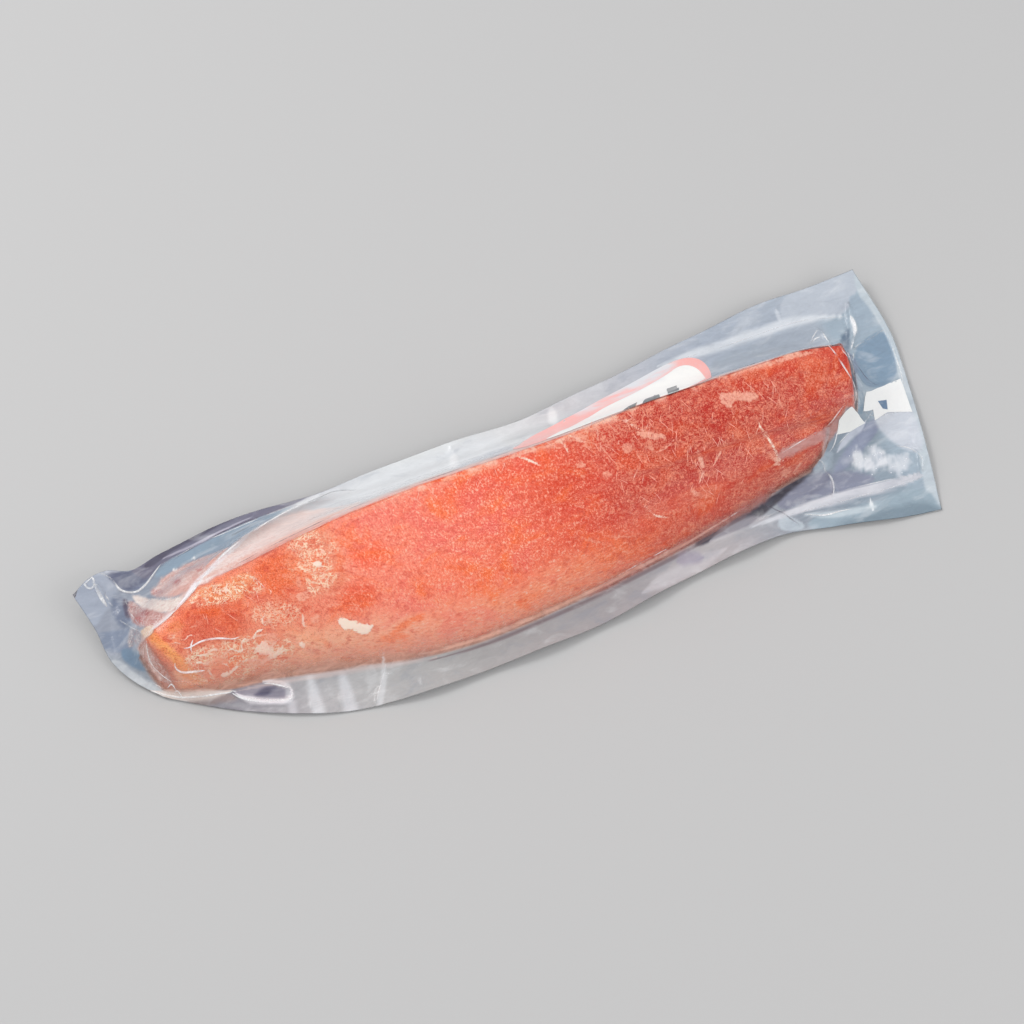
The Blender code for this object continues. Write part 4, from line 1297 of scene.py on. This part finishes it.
# Folds that stand in the film where it was creased: path, height and half width.
CREASES = (
    (((300, 78), (298, 69), (297, 62), (293, 54), (289, 48), (286, 42)), 3.2, 5),
    (((259, 58), (261, 61), (271, 67), (274, 67)), 1.4, 2.6),
    (((271, 67), (273, 53), (268, 36), (264, 25), (267, 16), (270, 8)), 2, 4),
    (((244, 79), (261, 78), (274, 76), (288, 72), (296, 68)), 1.2, 3),
    (((289, 42), (301, 47), (310, 48), (318, 48)), 1.8, 3),
    (((318, 44), (315, 28), (308, 5), (304, -18), (295, -54), (288, -72)), 1, 3),
    (((308, 5), (295, 5), (280, 4), (274, 12)), 1.4, 3),
    (((290, -73), (274, -70), (256, -69), (238, -68), (207, -65), (179, -65), (150, -66)), 1.3, 3),
    (((194, -69), (202, -73), (213, -78), (220, -79), (240, -81)), 1.3, 3),
    (((179, -63), (184, -71), (193, -82)), 1.6, 2.6),
    (((287, -46), (294, -52), (297, -59), (295, -66), (291, -71)), 1.5, 2.6),
    (((219, -40), (223, -42), (222, -46), (226, -51), (224, -60), (220, -66)), 1.6, 2.6),
    (((-240, -48), (-232, -56), (-220, -63), (-207, -69), (-201, -66), (-199, -60), (-203, -56),
      (-214, -52)), 2, 3),
    (((-229, -53), (-222, -55), (-213, -59), (-206, -61)), -1.2, 2.4),
    (((-303, 64), (-300, 57), (-299, 50)), 1.6, 2.6),
    (((-293, 31), (-288, 15), (-283, 0)), 1.2, 2.4),
    (((-132, -71), (-134, -76), (-139, -82), (-147, -93)), 1.2, 3),
    (((-183, -60), (-187, -70), (-190, -80)), 0.8, 4),
    (((-162, -68), (-167, -75), (-169, -86)), 0.8, 4),
    (((-104, -76), (-108, -84), (-112, -94)), 0.8, 5),
    (((60, 62), (64, 70), (66, 78)), 0.8, 5),
    (((-34, 46), (-28, 58), (-24, 76)), 1, 6),
    (((-199, 64), (-176, 66), (-150, 70), (-124, 75)), 1, 3),
)

CRINKLE_SIZE, CRINKLE_HEIGHT = 10.0, 0.8  # crinkles in the wide end's skirt
CLOUD_HEIGHT = 2.2  # the film bulges over the frost cloud by about this much
LEAST_GAP = 0.5  # the webs stay this far apart away from the seal

film_height = top[..., 2].copy()
tint, haze, cloud, slope, frosted = film_paint()
on_skirt = ease(1 - (top[..., 2] - skirt_level) / 4.0)
rim = np.minimum.reduce([
    film_y - smooth(column(FRONT_EDGE, 0), column(FRONT_EDGE, 1), film_x),
    smooth(column(BACK_EDGE, 0), column(BACK_EDGE, 1), film_x) - film_y,
    film_x - smooth(column(LEFT_EDGE, 1), column(LEFT_EDGE, 0), film_y),
    smooth(column(RIGHT_EDGE, 1), column(RIGHT_EDGE, 0), film_y) - film_x,
])
rim = np.maximum(rim, 0.0)
ripples = RIPPLE_HEIGHT * hills(film_x, film_y / 3.5, RIPPLE_LENGTH, 400)
crinkles = CRINKLE_HEIGHT * rough_hills(film_x, film_y, CRINKLE_SIZE, 410) * ease((film_x - 255.0) / 30.0)
stand = (ripples * ease((film_x + 285.0) / 30.0) + crinkles) * on_skirt * ease(rim / 6.0)
stand = stand + CLOUD_HEIGHT * cloud * (0.6 + 0.6 * rough_hills(film_x, film_y, 5.0, 420))
for path, height, width in CREASES:
    stand = stand + height * near_path(film_x, film_y, path, width, 0.3, 430) * ease(rim / 4.0)
edges_fixed = np.ones(stand.shape)
edges_fixed[[0, -1]] = 0
edges_fixed[:, [0, -1]] = 0
top[..., 2] = np.maximum(top[..., 2] + stand * edges_fixed, bottom[..., 2] + LEAST_GAP * edges_fixed)
top = top + upward(top) * (FILM_CLEARANCE * ease(loin_below / 4.0) * edges_fixed)[..., None]
pouch_film = envelope("pouch_film", top - SHIFT, bottom - SHIFT, FINENESS[-1][0])
UNDERSIDE_TINT, UNDERSIDE_HAZE = (176, 184, 194), 0.85
keep(pouch_film, "tint", tint, linear(UNDERSIDE_TINT))
for name, values, below in (
    ("haze", haze, UNDERSIDE_HAZE),
    ("slope", slope, 0.0),
    ("frosted", frosted, 0.0),
    ("loose", ease((haze - 0.3) / 0.4), 1.0),
):
    keep(pouch_film, name, values, below)


def clear_film(tree, surface, colour, haze, bump, roughness):
    """Joins up a film: haze hides what is behind it, and its face shines more at a slant."""
    body = {"Base Color": colour, "Roughness": roughness, "Normal": bump, "Specular IOR Level": 0.3}
    body = place(tree, "ShaderNodeBsdfPrincipled", body)
    clear = place(tree, "ShaderNodeBsdfTransparent", {"Color": (1.0, 1.0, 1.0, 1.0)})
    film = place(tree, "ShaderNodeMixShader", {0: haze, 1: clear, 2: body})
    gloss = {"Color": (1.0, 1.0, 1.0, 1.0), "Roughness": 0.12, "Normal": bump}
    gloss = place(tree, "ShaderNodeBsdfGlossy", gloss)
    slant = place(tree, "ShaderNodeLayerWeight", {"Blend": 0.5, "Normal": bump}, "Facing")
    shine = adjusted(tree, maths(tree, "POWER", slant, 5.0), 0.9, 0.014)
    feed(tree, surface, place(tree, "ShaderNodeMixShader", {0: shine, 1: film, 2: gloss}))


def film_over_loin():
    """The pouch's film: nearly clear on the flesh, hazy where it is loose, with faint painted light and shade
    there.
    """
    made, tree, surface = new_material("film_over_loin")
    at = place(tree, "ShaderNodeTexCoord", {}, "Object")
    tint = stored(tree, "tint", "Color")
    haze, loose, frosted, slope = (stored(tree, name) for name in ("haze", "loose", "frosted", "slope"))
    drift = noise(tree, stretched(tree, at, (40.0, 90.0, 60.0), 0.3), 1.0, 4.0, 0.55, 0.5)
    curls = grain_of(tree, at, 520.0, 150.0)
    # Where the film is loose, soft patches of painted light, near white, and painted shade, blue-grey, drift
    # over its tint.
    colour = marked(tree, tint, (
        (product(tree, step_between(tree, drift, 0.50, 0.70, 0.22), loose), (250, 251, 252)),
        (product(tree, step_between(tree, drift, 0.47, 0.28, 0.22), loose), (128, 138, 156)),
        (product(tree, curls["Crystals"], frosted, 0.30), (204, 120, 112)),
        (product(tree, curls["Threads"], frosted, 0.60), (255, 244, 238)),
    ))

    # Wisps where the haze is halfway, and clearer film where its steep back faces the eye.
    wisp = noise(tree, stretched(tree, at, (70.0, 190.0, 120.0), 0.7), 1.0, 5.0, 0.66, 1.4)
    wisp = product(tree, maths(tree, "SUBTRACT", wisp, 0.5), 4.0)
    middling = product(tree, haze, maths(tree, "SUBTRACT", 1.0, haze))
    haze = place(tree, "ShaderNodeClamp", {"Value": adjusted(tree, wisp, middling, haze)})
    slant = place(tree, "ShaderNodeLayerWeight", {"Blend": 0.5}, "Facing")
    clearer = product(tree, step_between(tree, slant, 0.68, 0.20, 0.5), slope)
    haze = product(tree, haze, maths(tree, "SUBTRACT", 1.0, clearer))

    pucker = noise(tree, stretched(tree, at, (150.0, 260.0, 200.0), 0.3), 1.0, 3.0, 0.6, 0.8)
    height = maths(tree, "ADD", drift, product(tree, pucker, 0.25))
    height = maths(tree, "ADD", height, product(tree, curls["Crystals"], 0.03))
    bump = place(tree, "ShaderNodeBump", {"Height": height, "Strength": 0.4, "Distance": 0.0014})
    clear_film(tree, surface, colour, haze, bump, 0.36)
    return made


pouch_film.data.materials.append(film_over_loin())
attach(pouch_film, "root")
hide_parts("sealed_pouch")

# ---------------------------------------------------------------------------------------
# The print: inks on the film, laid down before the bag was made. A rounded white panel with
# a pink border shows behind the loin, and plain white blocks at the wide end.

film_points = (top - SHIFT).reshape(-1, 3)
film_faces = grid_faces(np.arange(len(film_points)).reshape(top.shape[:2])).reshape(-1, 4).tolist()
film_tree = BVHTree.FromPolygons(film_points.tolist(), film_faces)


def on_film(x, y, lift):
    """The point of the film over (x, y), moved by lift along the film's normal, or None."""
    hit, normal, _, _ = film_tree.ray_cast(Vector((x - SHIFT[0], y - SHIFT[1], 200.0)), Vector((0, 0, -1)))
    return hit + normal * lift if hit else None


PRINT_CELL = 1.6
BAR_GREY = (118, 122, 125)
PRINTED = (  # name, outline, lift over the film, colour
    ("printed_border", ((5, 29), (12, 40), (22, 52), (32, 58), (53, 62), (79, 67), (106, 73), (138, 78),
                        (157, 80), (170, 79), (178, 73), (179, 62), (172, 48), (163, 31), (120, 30),
                        (60, 30)), 0.12, (252, 184, 178)),
    ("printed_panel", ((27, 29), (44, 35), (60, 48), (78, 55), (92, 61), (119, 66), (146, 71), (158, 75),
                       (167, 73), (172, 66), (170, 52), (158, 31), (120, 30.5), (60, 30)), 0.22,
     (250, 248, 244)),
    ("printed_block_a", ((274, -4), (278, 1), (290, 4), (310, 6), (305, -24), (288, -17), (283, -18),
                         (276, -20), (278, -12), (268, -14)), 0.25, (242, 242, 240)),
    ("printed_block_b", ((255, -16), (262, -17), (267, -21), (252, -26), (240, -27), (243, -21),
                         (249, -18)), 0.3, (240, 240, 236)),
    ("printed_window", ((285, -6), (292, -7), (289, -15), (286, -13)), 0.3, (108, 132, 160)),
    ("printed_bar_a", ((127, 30), (136, 30), (148, 56), (140, 56)), 0.32, BAR_GREY),
    ("printed_bar_b", ((107, 30), (121, 30), (128, 51), (112, 36)), 0.32, BAR_GREY),
    ("printed_bar_c", ((92, 30), (102, 30), (106, 36), (97, 33)), 0.32, BAR_GREY),
)
WORN_PRINT = ((70, 60), (110, 66), (150, 70), (160, 78), (150, 86), (110, 84),
              (70, 76))  # where the ink is thin


def printed_shape(name, outline, lift):
    """A layer of ink that follows the film inside the outline given."""
    points = rounded(outline, closed=True) if name.endswith(("border", "panel")) else np.array(outline, float)
    work = bmesh.new()
    work.faces.new([work.verts.new((px, py, 0)) for px, py in points])
    for axis in range(2):
        across = Vector((1, 0, 0)) if axis == 0 else Vector((0, 1, 0))
        for at in np.arange(points[:, axis].min() + PRINT_CELL, points[:, axis].max(), PRINT_CELL):
            everything = work.verts[:] + work.edges[:] + work.faces[:]
            bmesh.ops.bisect_plane(work, geom=everything, plane_co=across * at, plane_no=across)
    for vert in work.verts:
        vert.co = (on_film(vert.co.x, vert.co.y, lift) or vert.co) * MM
    bmesh.ops.recalc_face_normals(work, faces=work.faces)
    if sum(face.normal.z for face in work.faces) < 0:
        bmesh.ops.reverse_faces(work, faces=work.faces)
    made = new_object(name, [], [])
    work.to_mesh(made.data)
    work.free()
    made.data.shade_smooth()
    places = np.array([vert.co[:] for vert in made.data.vertices]) / MM + SHIFT
    keep(made, "worn", inside(places[:, 0], places[:, 1], WORN_PRINT, 10.0, 2.0))
    return made


def ink(name, colour):
    """Ink with a soft shine of its own and its faint mottle in it."""
    made, tree, surface = new_material(name)
    at = place(tree, "ShaderNodeTexCoord", {}, "Object")
    ice = grain_of(tree, at, 300.0, 40.0)
    streaks = noise(tree, stretched(tree, at, (40.0, 200.0, 40.0), 0.3), 1.0, 3.0)
    fade = product(tree, stored(tree, "worn"), step_between(tree, streaks, 0.20, 0.62))
    fade = maths(tree, "MAXIMUM", fade, product(tree, ice["Crystals"], 0.12))
    shader = place(tree, "ShaderNodeBsdfPrincipled", {
        "Base Color": mixed(tree, fade, rgba(colour), rgba((226, 226, 230))), "Roughness": 0.32})
    feed(tree, surface, shader)
    return made


for name, outline, lift, colour in PRINTED:
    shape = printed_shape(name, outline, lift)
    shape.data.materials.append(ink(name + "_ink", colour))
    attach(shape, "root")

# ---------------------------------------------------------------------------------------
# Pressed folds: where the film creased as the air left, its crease stands up as a thin bead.
# Its colour is painted light and shade: white beads are painted highlights, dark ones painted
# shade in the creases, and pinkish ones along the ridge a painted highlight. Each bead follows
# a path over the film and runs out at both ends.

HIGHLIGHT_FOLDS = (  # path in plan and half width
    (((-281, -3), (-276, -1), (-265, 1), (-250, 8), (-240, 14), (-228, 24), (-218, 34), (-203, 43),
      (-179, 54), (-145, 67), (-126, 74)), 0.7),
    (((-298, 69), (-294, 66), (-291, 63), (-289, 59), (-288, 54), (-285, 51), (-281, 49), (-276, 48),
      (-272, 50), (-268, 52), (-262, 57), (-254, 63)), 0.9),
    (((-254, 63), (-249, 64), (-238, 66), (-222, 70), (-203, 69), (-183, 69), (-150, 70)), 0.45),
    (((-304, 63), (-302, 60), (-300, 59), (-299, 55)), 0.8),
    (((-303, 62), (-302, 56), (-301.5, 50), (-300, 44)), 1.6),
    (((-299, 53), (-297, 48)), 0.6),
    (((-298, 47), (-296, 43)), 0.6),
    (((-295, 40), (-294, 36)), 0.5),
    (((-295, 31), (-293, 27), (-291, 22)), 0.5),
    (((-291, 22), (-288, 14), (-284, 3)), 0.5),
    (((-286, 45), (-287, 35), (-285, 23), (-284, 13), (-280, 4)), 0.4),
    (((-271, 40), (-266, 26), (-258, 17), (-247, 15)), 0.4),
    (((-265, 45), (-258, 49), (-249, 47), (-244, 42)), 0.3),
    (((-283, -3), (-286, -14), (-281, -25), (-276, -31)), 0.45),
    (((-280, -30), (-276, -31), (-275, -34)), 0.8),
    (((-277, -34), (-274, -34), (-272, -38)), 0.8),
    (((-292, -24), (-283, -31), (-274, -37), (-264, -42), (-254, -46), (-246, -48), (-236, -50)), 1.2),
    (((-297, -8), (-291, -18), (-283, -28), (-274, -38)), 0.4),
    (((-239, -50), (-234, -55), (-225, -60), (-215, -64), (-204, -68), (-200, -66), (-199, -61)), 1.6),
    (((-199, -61), (-203, -58), (-210, -54), (-216, -52)), 0.9),
    (((-261, -22), (-257, -23), (-247, -21), (-236, -23), (-227, -27), (-222, -27)), 0.8),
    (((-257, -26), (-256, -22), (-253, -19)), 0.6),
    (((-270, -27), (-271, -29), (-268, -32), (-263, -34), (-252, -36)), 1),
    (((-203, 16), (-198, 5), (-194, -4)), 0.35),
    (((-131, -71), (-134, -75), (-139, -80), (-147, -93)), 0.5),
    (((-136, -76), (-124, -78), (-108, -80)), 0.35),
    (((-188, -76), (-177, -76), (-157, -79)), 0.35),
    (((30, -74), (70, -68.5), (118, -61.5)), 0.3),
    (((120, -62), (138, -58.5), (158, -54.5)), 0.3),
    (((263, -8), (250, -14), (234, -23), (217, -28), (190, -34)), 0.4),
    (((230, -36), (236, -32), (241, -25), (245, -20)), 0.6),
    (((297, 68), (298, 62), (296, 56), (293, 52), (290, 48), (286, 42)), 1.3),
    (((257, 32), (259, 24), (260, 15), (261, 7), (262, 2)), 0.7),
    (((263, 1), (265, -4), (262, -10), (258, -15)), 0.5),
    (((286, 38), (281, 30), (276, 24)), 0.7),
    (((270, 67), (263, 62), (258, 56)), 0.6),
    (((260, 58), (266, 61), (269, 61)), 0.7),
    (((272, 63), (272, 58), (273, 52)), 0.5),
    (((272, 66), (273, 53), (268, 36), (264, 25), (267, 16)), 0.5),
    (((276, 40), (272, 28), (270, 16), (268, 6)), 0.5),
    (((288, 42), (296, 45), (306, 46), (316, 48)), 0.5),
    (((316, 48), (317, 38), (315, 25), (313, 11), (310, 1)), 0.6),
    (((281, -44), (288, -48), (292, -53), (295, -61), (294, -67), (291, -70), (283, -70)), 0.5),
    (((290, -72), (256, -66), (224, -63), (193, -61), (158, -64)), 0.4),
    (((290, -75), (249, -73), (221, -71), (178, -66)), 0.35),
    (((219, -40), (223, -42), (222, -46), (226, -51), (224, -60), (220, -66)), 0.8),
    (((194, -70), (200, -73), (205, -76), (212, -78), (218, -78), (228, -80)), 0.7),
    (((143, 79), (190, 80), (249, 79), (274, 76), (295, 69)), 0.4),
    (((237, -33), (249, -27), (261, -22), (270, -19), (279, -11)), 0.45),
    (((270, -14), (280, -18), (291, -19), (306, -22)), 0.5),
)
# Painted shade lines in creases, and along the film just behind the ridge.
SHADE_FOLDS = (
    (((168, -56), (175, -59), (181, -65), (187, -76), (193, -82)), 0.45),
    (((281, 22), (284, 12), (292, 6)), 0.5),
    (((-257, 61), (-246, 63), (-228, 68), (-207, 71), (-187, 71), (-166, 70), (-145, 67)), 0.45),
    (((-212, 20), (-179, 25), (-146, 28), (-124, 30.5), (-103, 31)), 0.35),
    (((-90, 30.5), (-60, 31), (-20, 31), (20, 31)), 0.3),
    (((180, 33), (206, 35), (240, 35), (262, 32)), 0.35),
)
RIDGE_LINES = ((-213, -168), (-166, -120), (-116, -70), (-62, -24), (-14, 30), (34, 96), (104, 158),
               (164, 226), (232, 262))
RING = (-306.0, 63.9, 3.6, 4.8)  # a small loop of film by the tip: x, y and its two radii
RING_TURNS, RING_POINTS = 1.35, 23
RIDGE_FOLD_HALF = 0.42
BEHIND_RIDGE = 0.6  # the ridge folds lie this far behind the ridge
FOLD_STEP = 1.2  # spacing of the points along a fold
FOLD_TIP = 0.15  # a fold's width at its ends, as a share of its width midway


def fold_paths(name, folds):
    """Edges that follow the folds over the film, with each point's half width kept beside it."""
    points, edges, halves, whites = [], [], [], []
    for path, half in folds:
        cut = rounded(path)
        walked = np.cumsum(np.hypot(*np.diff(cut, axis=0, prepend=cut[:1]).T))
        at = np.linspace(0, walked[-1], max(5, int(walked[-1] / FOLD_STEP)))
        first = len(points)
        along = (np.interp(at, walked, cut[:, axis]) for axis in range(2))
        for px, py, share in zip(*along, at / at[-1]):
            found = on_film(px, py, 0.05)
            if found is None:
                continue
            points.append(found * MM)
            halves.append(half * MM * (FOLD_TIP + (1 - FOLD_TIP) * abs(math.sin(math.pi * share)) ** 0.6))
            whites.append(min(1.0, half))
        edges += [(i, i + 1) for i in range(first, len(points) - 1)]
    made = new_object(name, points, [], edges)
    keep(made, "half_width", np.array(halves))
    keep(made, "white", np.array(whites))
    return made


def new_tree(name, inputs):
    """A geometry tree with its named inputs, and its group input and output sockets."""
    tree = bpy.data.node_groups.new(name, "GeometryNodeTree")
    tree.interface.new_socket("Geometry", in_out="INPUT", socket_type="NodeSocketGeometry")
    for socket, kind in inputs:
        tree.interface.new_socket(socket, in_out="INPUT", socket_type="NodeSocket" + kind)
    tree.interface.new_socket("Geometry", in_out="OUTPUT", socket_type="NodeSocketGeometry")
    return tree, tree.nodes.new("NodeGroupInput").outputs, tree.nodes.new("NodeGroupOutput").inputs


def fold_bead():
    """A flattened bead along each path, as wide as its points say."""
    tree, given, result = new_tree("fold_bead",
                                   (("Flatness", "Float"), ("Sides", "Int"), ("Film", "Material")))
    curve = place(tree, "GeometryNodeMeshToCurve", {"Mesh": given["Geometry"]})
    half = place(tree, "GeometryNodeInputNamedAttribute", {"Name": "half_width"}, data_type="FLOAT")
    curve = place(tree, "GeometryNodeSetCurveNormal", {"Curve": curve}, mode="Z_UP")
    ring = place(tree, "GeometryNodeCurvePrimitiveCircle", {"Resolution": given["Sides"], "Radius": 1.0})
    flat = place(tree, "ShaderNodeCombineXYZ", {0: 1.0, 1: given["Flatness"], 2: 1.0})
    ring = place(tree, "GeometryNodeTransform", {"Geometry": ring, "Scale": flat})
    bead = place(tree, "GeometryNodeCurveToMesh", {"Curve": curve, "Profile Curve": ring,
                                                "Scale": half, "Fill Caps": True})
    bead = place(tree, "GeometryNodeSetShadeSmooth", {"Geometry": bead})
    bead = place(tree, "GeometryNodeRealizeInstances", {"Geometry": bead})
    bead = place(tree, "GeometryNodeSetMaterial", {"Geometry": bead, "Material": given["Film"]})
    feed(tree, result["Geometry"], bead)


def made_by(tree_name, base, settings):
    """The object, with the mesh that a geometry tree makes from it in place of its own."""
    tree = bpy.data.node_groups[tree_name]
    modifier = base.modifiers.new(tree_name, "NODES")
    modifier.node_group = tree
    for item in tree.interface.items_tree:
        if item.in_out == "INPUT" and item.name in settings:
            modifier[item.identifier] = settings[item.name]
    bpy.context.view_layer.update()
    mesh = bpy.data.meshes.new_from_object(base.evaluated_get(bpy.context.evaluated_depsgraph_get()))
    base.modifiers.clear()
    base.data = mesh
    mesh.name = base.name
    return base


def painted_fold_film(name, colour, haze):
    """Film along a crease, in a painted highlight or painted shade colour."""
    made, tree, surface = new_material(name)
    at = place(tree, "ShaderNodeTexCoord", {}, "Object")
    ice = grain_of(tree, at, 700.0, 160.0)
    broken = maths(tree, "SUBTRACT", stored(tree, "white"), 2.1)
    broken = adjusted(tree, noise(tree, at, 55.0, 3.0), 4.0, broken)
    broken = place(tree, "ShaderNodeClamp", {"Value": broken})
    worn = place(tree, "ShaderNodeMapRange", {"Value": ice["Crystals"], "To Min": haze * 0.7, "To Max": haze})
    worn = product(tree, worn, broken)
    bump = place(tree, "ShaderNodeBump", {"Height": ice["Crystals"], "Strength": 0.1, "Distance": 0.0002})
    clear_film(tree, surface, rgba(colour), worn, bump, 0.25)
    return made


turns = np.linspace(0, 2 * np.pi * RING_TURNS, RING_POINTS)
ring_path = tuple((RING[0] + RING[2] * math.cos(t), RING[1] + RING[3] * math.sin(t)) for t in turns)
# A painted highlight line along the ridge, just behind it.
ridge_highlights = tuple(
    (tuple((x, loin_lines(x)[1] + BEHIND_RIDGE) for x in np.linspace(start, end, 8)), RIDGE_FOLD_HALF)
    for start, end in RIDGE_LINES
)
fold_bead()
# White, dark and pinkish beads: painted highlights, painted shade in creases, and a painted highlight along
# the ridge.
for name, folds, colour, worn in (
    ("highlight_folds", HIGHLIGHT_FOLDS + ((ring_path, 1.0),), (255, 255, 255), 0.92),
    ("shade_folds", SHADE_FOLDS, (112, 92, 110), 0.6),
    ("ridge_highlights", ridge_highlights, (255, 214, 204), 0.6),
):
    beads = made_by("fold_bead", fold_paths(name, folds),
                    {"Flatness": 0.45, "Sides": 8, "Film": painted_fold_film(name + "_film", colour, worn)})
    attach(beads, "root")

# ---------------------------------------------------------------------------------------
# Loose ice: needles that grew across the face of the loin against the film, and crumbs of
# frost in the cloud at the wide end. Each is frozen to the film, and lies half sunk in its face.

NEEDLE_AREAS = (  # outline, softness and how thickly the needles lie there
    (((60, 20), (150, 26), (210, 20), (200, -20), (170, -40), (110, -48), (60, -20)), 24, 1),
    (((-110, 30), (100, 30), (100, 16), (-110, 16)), 10, 1),
    (((-250, 6), (-160, 14), (-150, -30), (-240, -34)), 20, 0.1),
)


def scattered_ice():
    """Slivers of ice laid on a surface where its density allows, turned by up to the angle given."""
    tree, given, result = new_tree("scattered_ice", (
        ("Per square m", "Float"), ("Length", "Float"), ("Width", "Float"), ("Thickness", "Float"),
        ("Turn", "Float"), ("Seed", "Int"), ("Ice", "Material")))
    density = place(tree, "GeometryNodeInputNamedAttribute", {"Name": "density"}, data_type="FLOAT")
    density = product(tree, density, given["Per square m"])
    found = tree.nodes.new("GeometryNodeDistributePointsOnFaces")
    feed(tree, found.inputs["Mesh"], given["Geometry"])
    feed(tree, found.inputs["Density"], density)
    feed(tree, found.inputs["Seed"], given["Seed"])
    flat = place(tree, "FunctionNodeAlignRotationToVector", {"Vector": found.outputs["Normal"]}, axis="Z")
    turn = {2: product(tree, given["Turn"], -1.0), 3: given["Turn"], "Seed": given["Seed"]}
    turn = place(tree, "FunctionNodeRandomValue", turn, 1, data_type="FLOAT")
    turn = place(tree, "FunctionNodeAxisAngleToRotation", {"Axis": (0.0, 0.0, 1.0), "Angle": turn})
    lie = {"Rotation": flat, "Rotate By": turn}
    lie = place(tree, "FunctionNodeRotateRotation", lie, rotation_space="LOCAL")
    grow = place(tree, "FunctionNodeRandomValue", {2: 0.35, 3: 1.0, "Seed": 7}, 1, data_type="FLOAT")
    size = place(tree, "ShaderNodeCombineXYZ", {0: 1.0, 1: grow, 2: 1.0})
    sliver = place(tree, "GeometryNodeMeshIcoSphere", {"Radius": 0.5, "Subdivisions": 1})
    shape = place(tree, "ShaderNodeCombineXYZ",
                  {0: given["Width"], 1: given["Length"], 2: given["Thickness"]})
    sliver = place(tree, "GeometryNodeTransform", {"Geometry": sliver, "Scale": shape})
    laid = {"Points": found.outputs["Points"], "Instance": sliver, "Rotation": lie, "Scale": size}
    laid = place(tree, "GeometryNodeInstanceOnPoints", laid)
    laid = place(tree, "GeometryNodeRealizeInstances", {"Geometry": laid})
    laid = place(tree, "GeometryNodeSetMaterial", {"Geometry": laid, "Material": given["Ice"]})
    feed(tree, result["Geometry"], laid)


def ice(name, colour, roughness):
    """Frosted ice."""
    made, tree, surface = new_material(name)
    at = place(tree, "ShaderNodeTexCoord", {}, "Object")
    speckle = grain_of(tree, at, 900.0, 200.0)["Crystals"]
    shader = place(tree, "ShaderNodeBsdfPrincipled", {
        "Base Color": mixed(tree, product(tree, speckle, 0.4), rgba(colour), (1.0, 1.0, 1.0, 1.0)),
        "Roughness": roughness})
    feed(tree, surface, shader)
    return made


def laid_on_film(name, density):
    """A copy of the film's upper side that carries a density, for ice to be laid on."""
    made = new_object(name, (film_points * MM).tolist(), film_faces)
    keep(made, "density", density)
    return made


needle_density = np.zeros(film_x.shape)
for k, (outline, soft, share) in enumerate(NEEDLE_AREAS):
    area = inside(film_x, film_y, outline, soft, 4.0, 12.0, 500 + k)
    needle_density = np.maximum(needle_density, share * area)
needle_density *= (haze < 0.3) * ease(0.5 + rough_hills(film_x, film_y, 16.0, 510))
scattered_ice()
NEEDLE = {"Per square m": 30000.0, "Length": 0.012, "Width": 0.0004, "Thickness": 0.0002, "Turn": 0.75,
          "Seed": 3}
CRUMB = {"Per square m": 50000.0, "Length": 0.0013, "Width": 0.0009, "Thickness": 0.0008, "Turn": 3.1,
         "Seed": 5}
for name, density, settings, colour, roughness in (
    ("ice_needles", needle_density, NEEDLE, (250, 176, 150), 0.5),
    ("frost_crumbs", np.maximum(cloud, 0.0), CRUMB, (240, 242, 246), 0.6),
):
    settings["Ice"] = ice(name + "_ice", colour, roughness)
    scattered = made_by("scattered_ice", laid_on_film(name, density), settings)
    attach(scattered, "root")

# ---------------------------------------------------------------------------------------
# The studio: a plain pale floor, a key and a fill from soft boxes under a pale sky, and a
# camera that looks down on the loin from the photograph's side.

REACH = 6.0  # the floor's reach each way, in metres
FLOOR_COLOUR = (194, 193, 192)
SKY_COLOUR, SKY_STRENGTH = (0.97, 0.98, 1.0, 1.0), 0.80

floor = new_object("floor", [(-REACH, -REACH, 0), (REACH, -REACH, 0), (REACH, REACH, 0), (-REACH, REACH, 0)],
                   [(0, 1, 2, 3)])
floor_paint, tree, surface = new_material("pale_floor")
feed(tree, surface, place(tree, "ShaderNodeBsdfPrincipled", {
    "Base Color": rgba(FLOOR_COLOUR), "Roughness": 0.7, "Specular IOR Level": 0.2}))
floor.data.materials.append(floor_paint)

world = bpy.data.worlds.new("studio")
world.use_nodes = True
sky = world.node_tree.nodes["Background"].inputs
sky["Color"].default_value = SKY_COLOUR
sky["Strength"].default_value = SKY_STRENGTH
bpy.context.scene.world = world

SOFTBOXES = (  # place, size and power: a key from behind on the left, a fill from the front
    ("key", (-0.98, 0.98, 1.71), 0.8, 15.0),
    ("fill", (1.4, -1.2, 1.3), 1.4, 9.0),
)
for name, spot, size, power in SOFTBOXES:
    lamp = bpy.data.lights.new(name, "AREA")
    lamp.shape = "SQUARE"
    lamp.size = size
    lamp.energy = power
    box = bpy.data.objects.new(name, lamp)
    box.location = spot
    box.rotation_euler = (-Vector(spot)).to_track_quat("-Z", "Y").to_euler()
    bpy.context.scene.collection.objects.link(box)

CAMERA_AZIMUTH, CAMERA_ELEVATION = math.radians(-22), math.radians(63)
CAMERA_DISTANCE = 1.9
CAMERA_LENS = 92.5
AIM = Vector((-0.004, 0.0165, 0.03))
AIM_LEFT, AIM_OVER = 0.0036, 0.0152  # how far the picture's middle stands left of and over that point
back = Vector((math.sin(CAMERA_AZIMUTH) * math.cos(CAMERA_ELEVATION),
               -math.cos(CAMERA_AZIMUTH) * math.cos(CAMERA_ELEVATION), math.sin(CAMERA_ELEVATION)))
right = Vector((math.cos(CAMERA_AZIMUTH), math.sin(CAMERA_AZIMUTH), 0))
camera = bpy.data.objects.new("camera", bpy.data.cameras.new("camera"))
camera.data.lens = CAMERA_LENS
camera.location = AIM + right * AIM_LEFT - back.cross(right) * AIM_OVER + back * CAMERA_DISTANCE
camera.rotation_euler = (-back).to_track_quat("-Z", "Y").to_euler()
bpy.context.scene.collection.objects.link(camera)
bpy.context.scene.camera = camera
bpy.context.scene.view_settings.view_transform = "Standard"
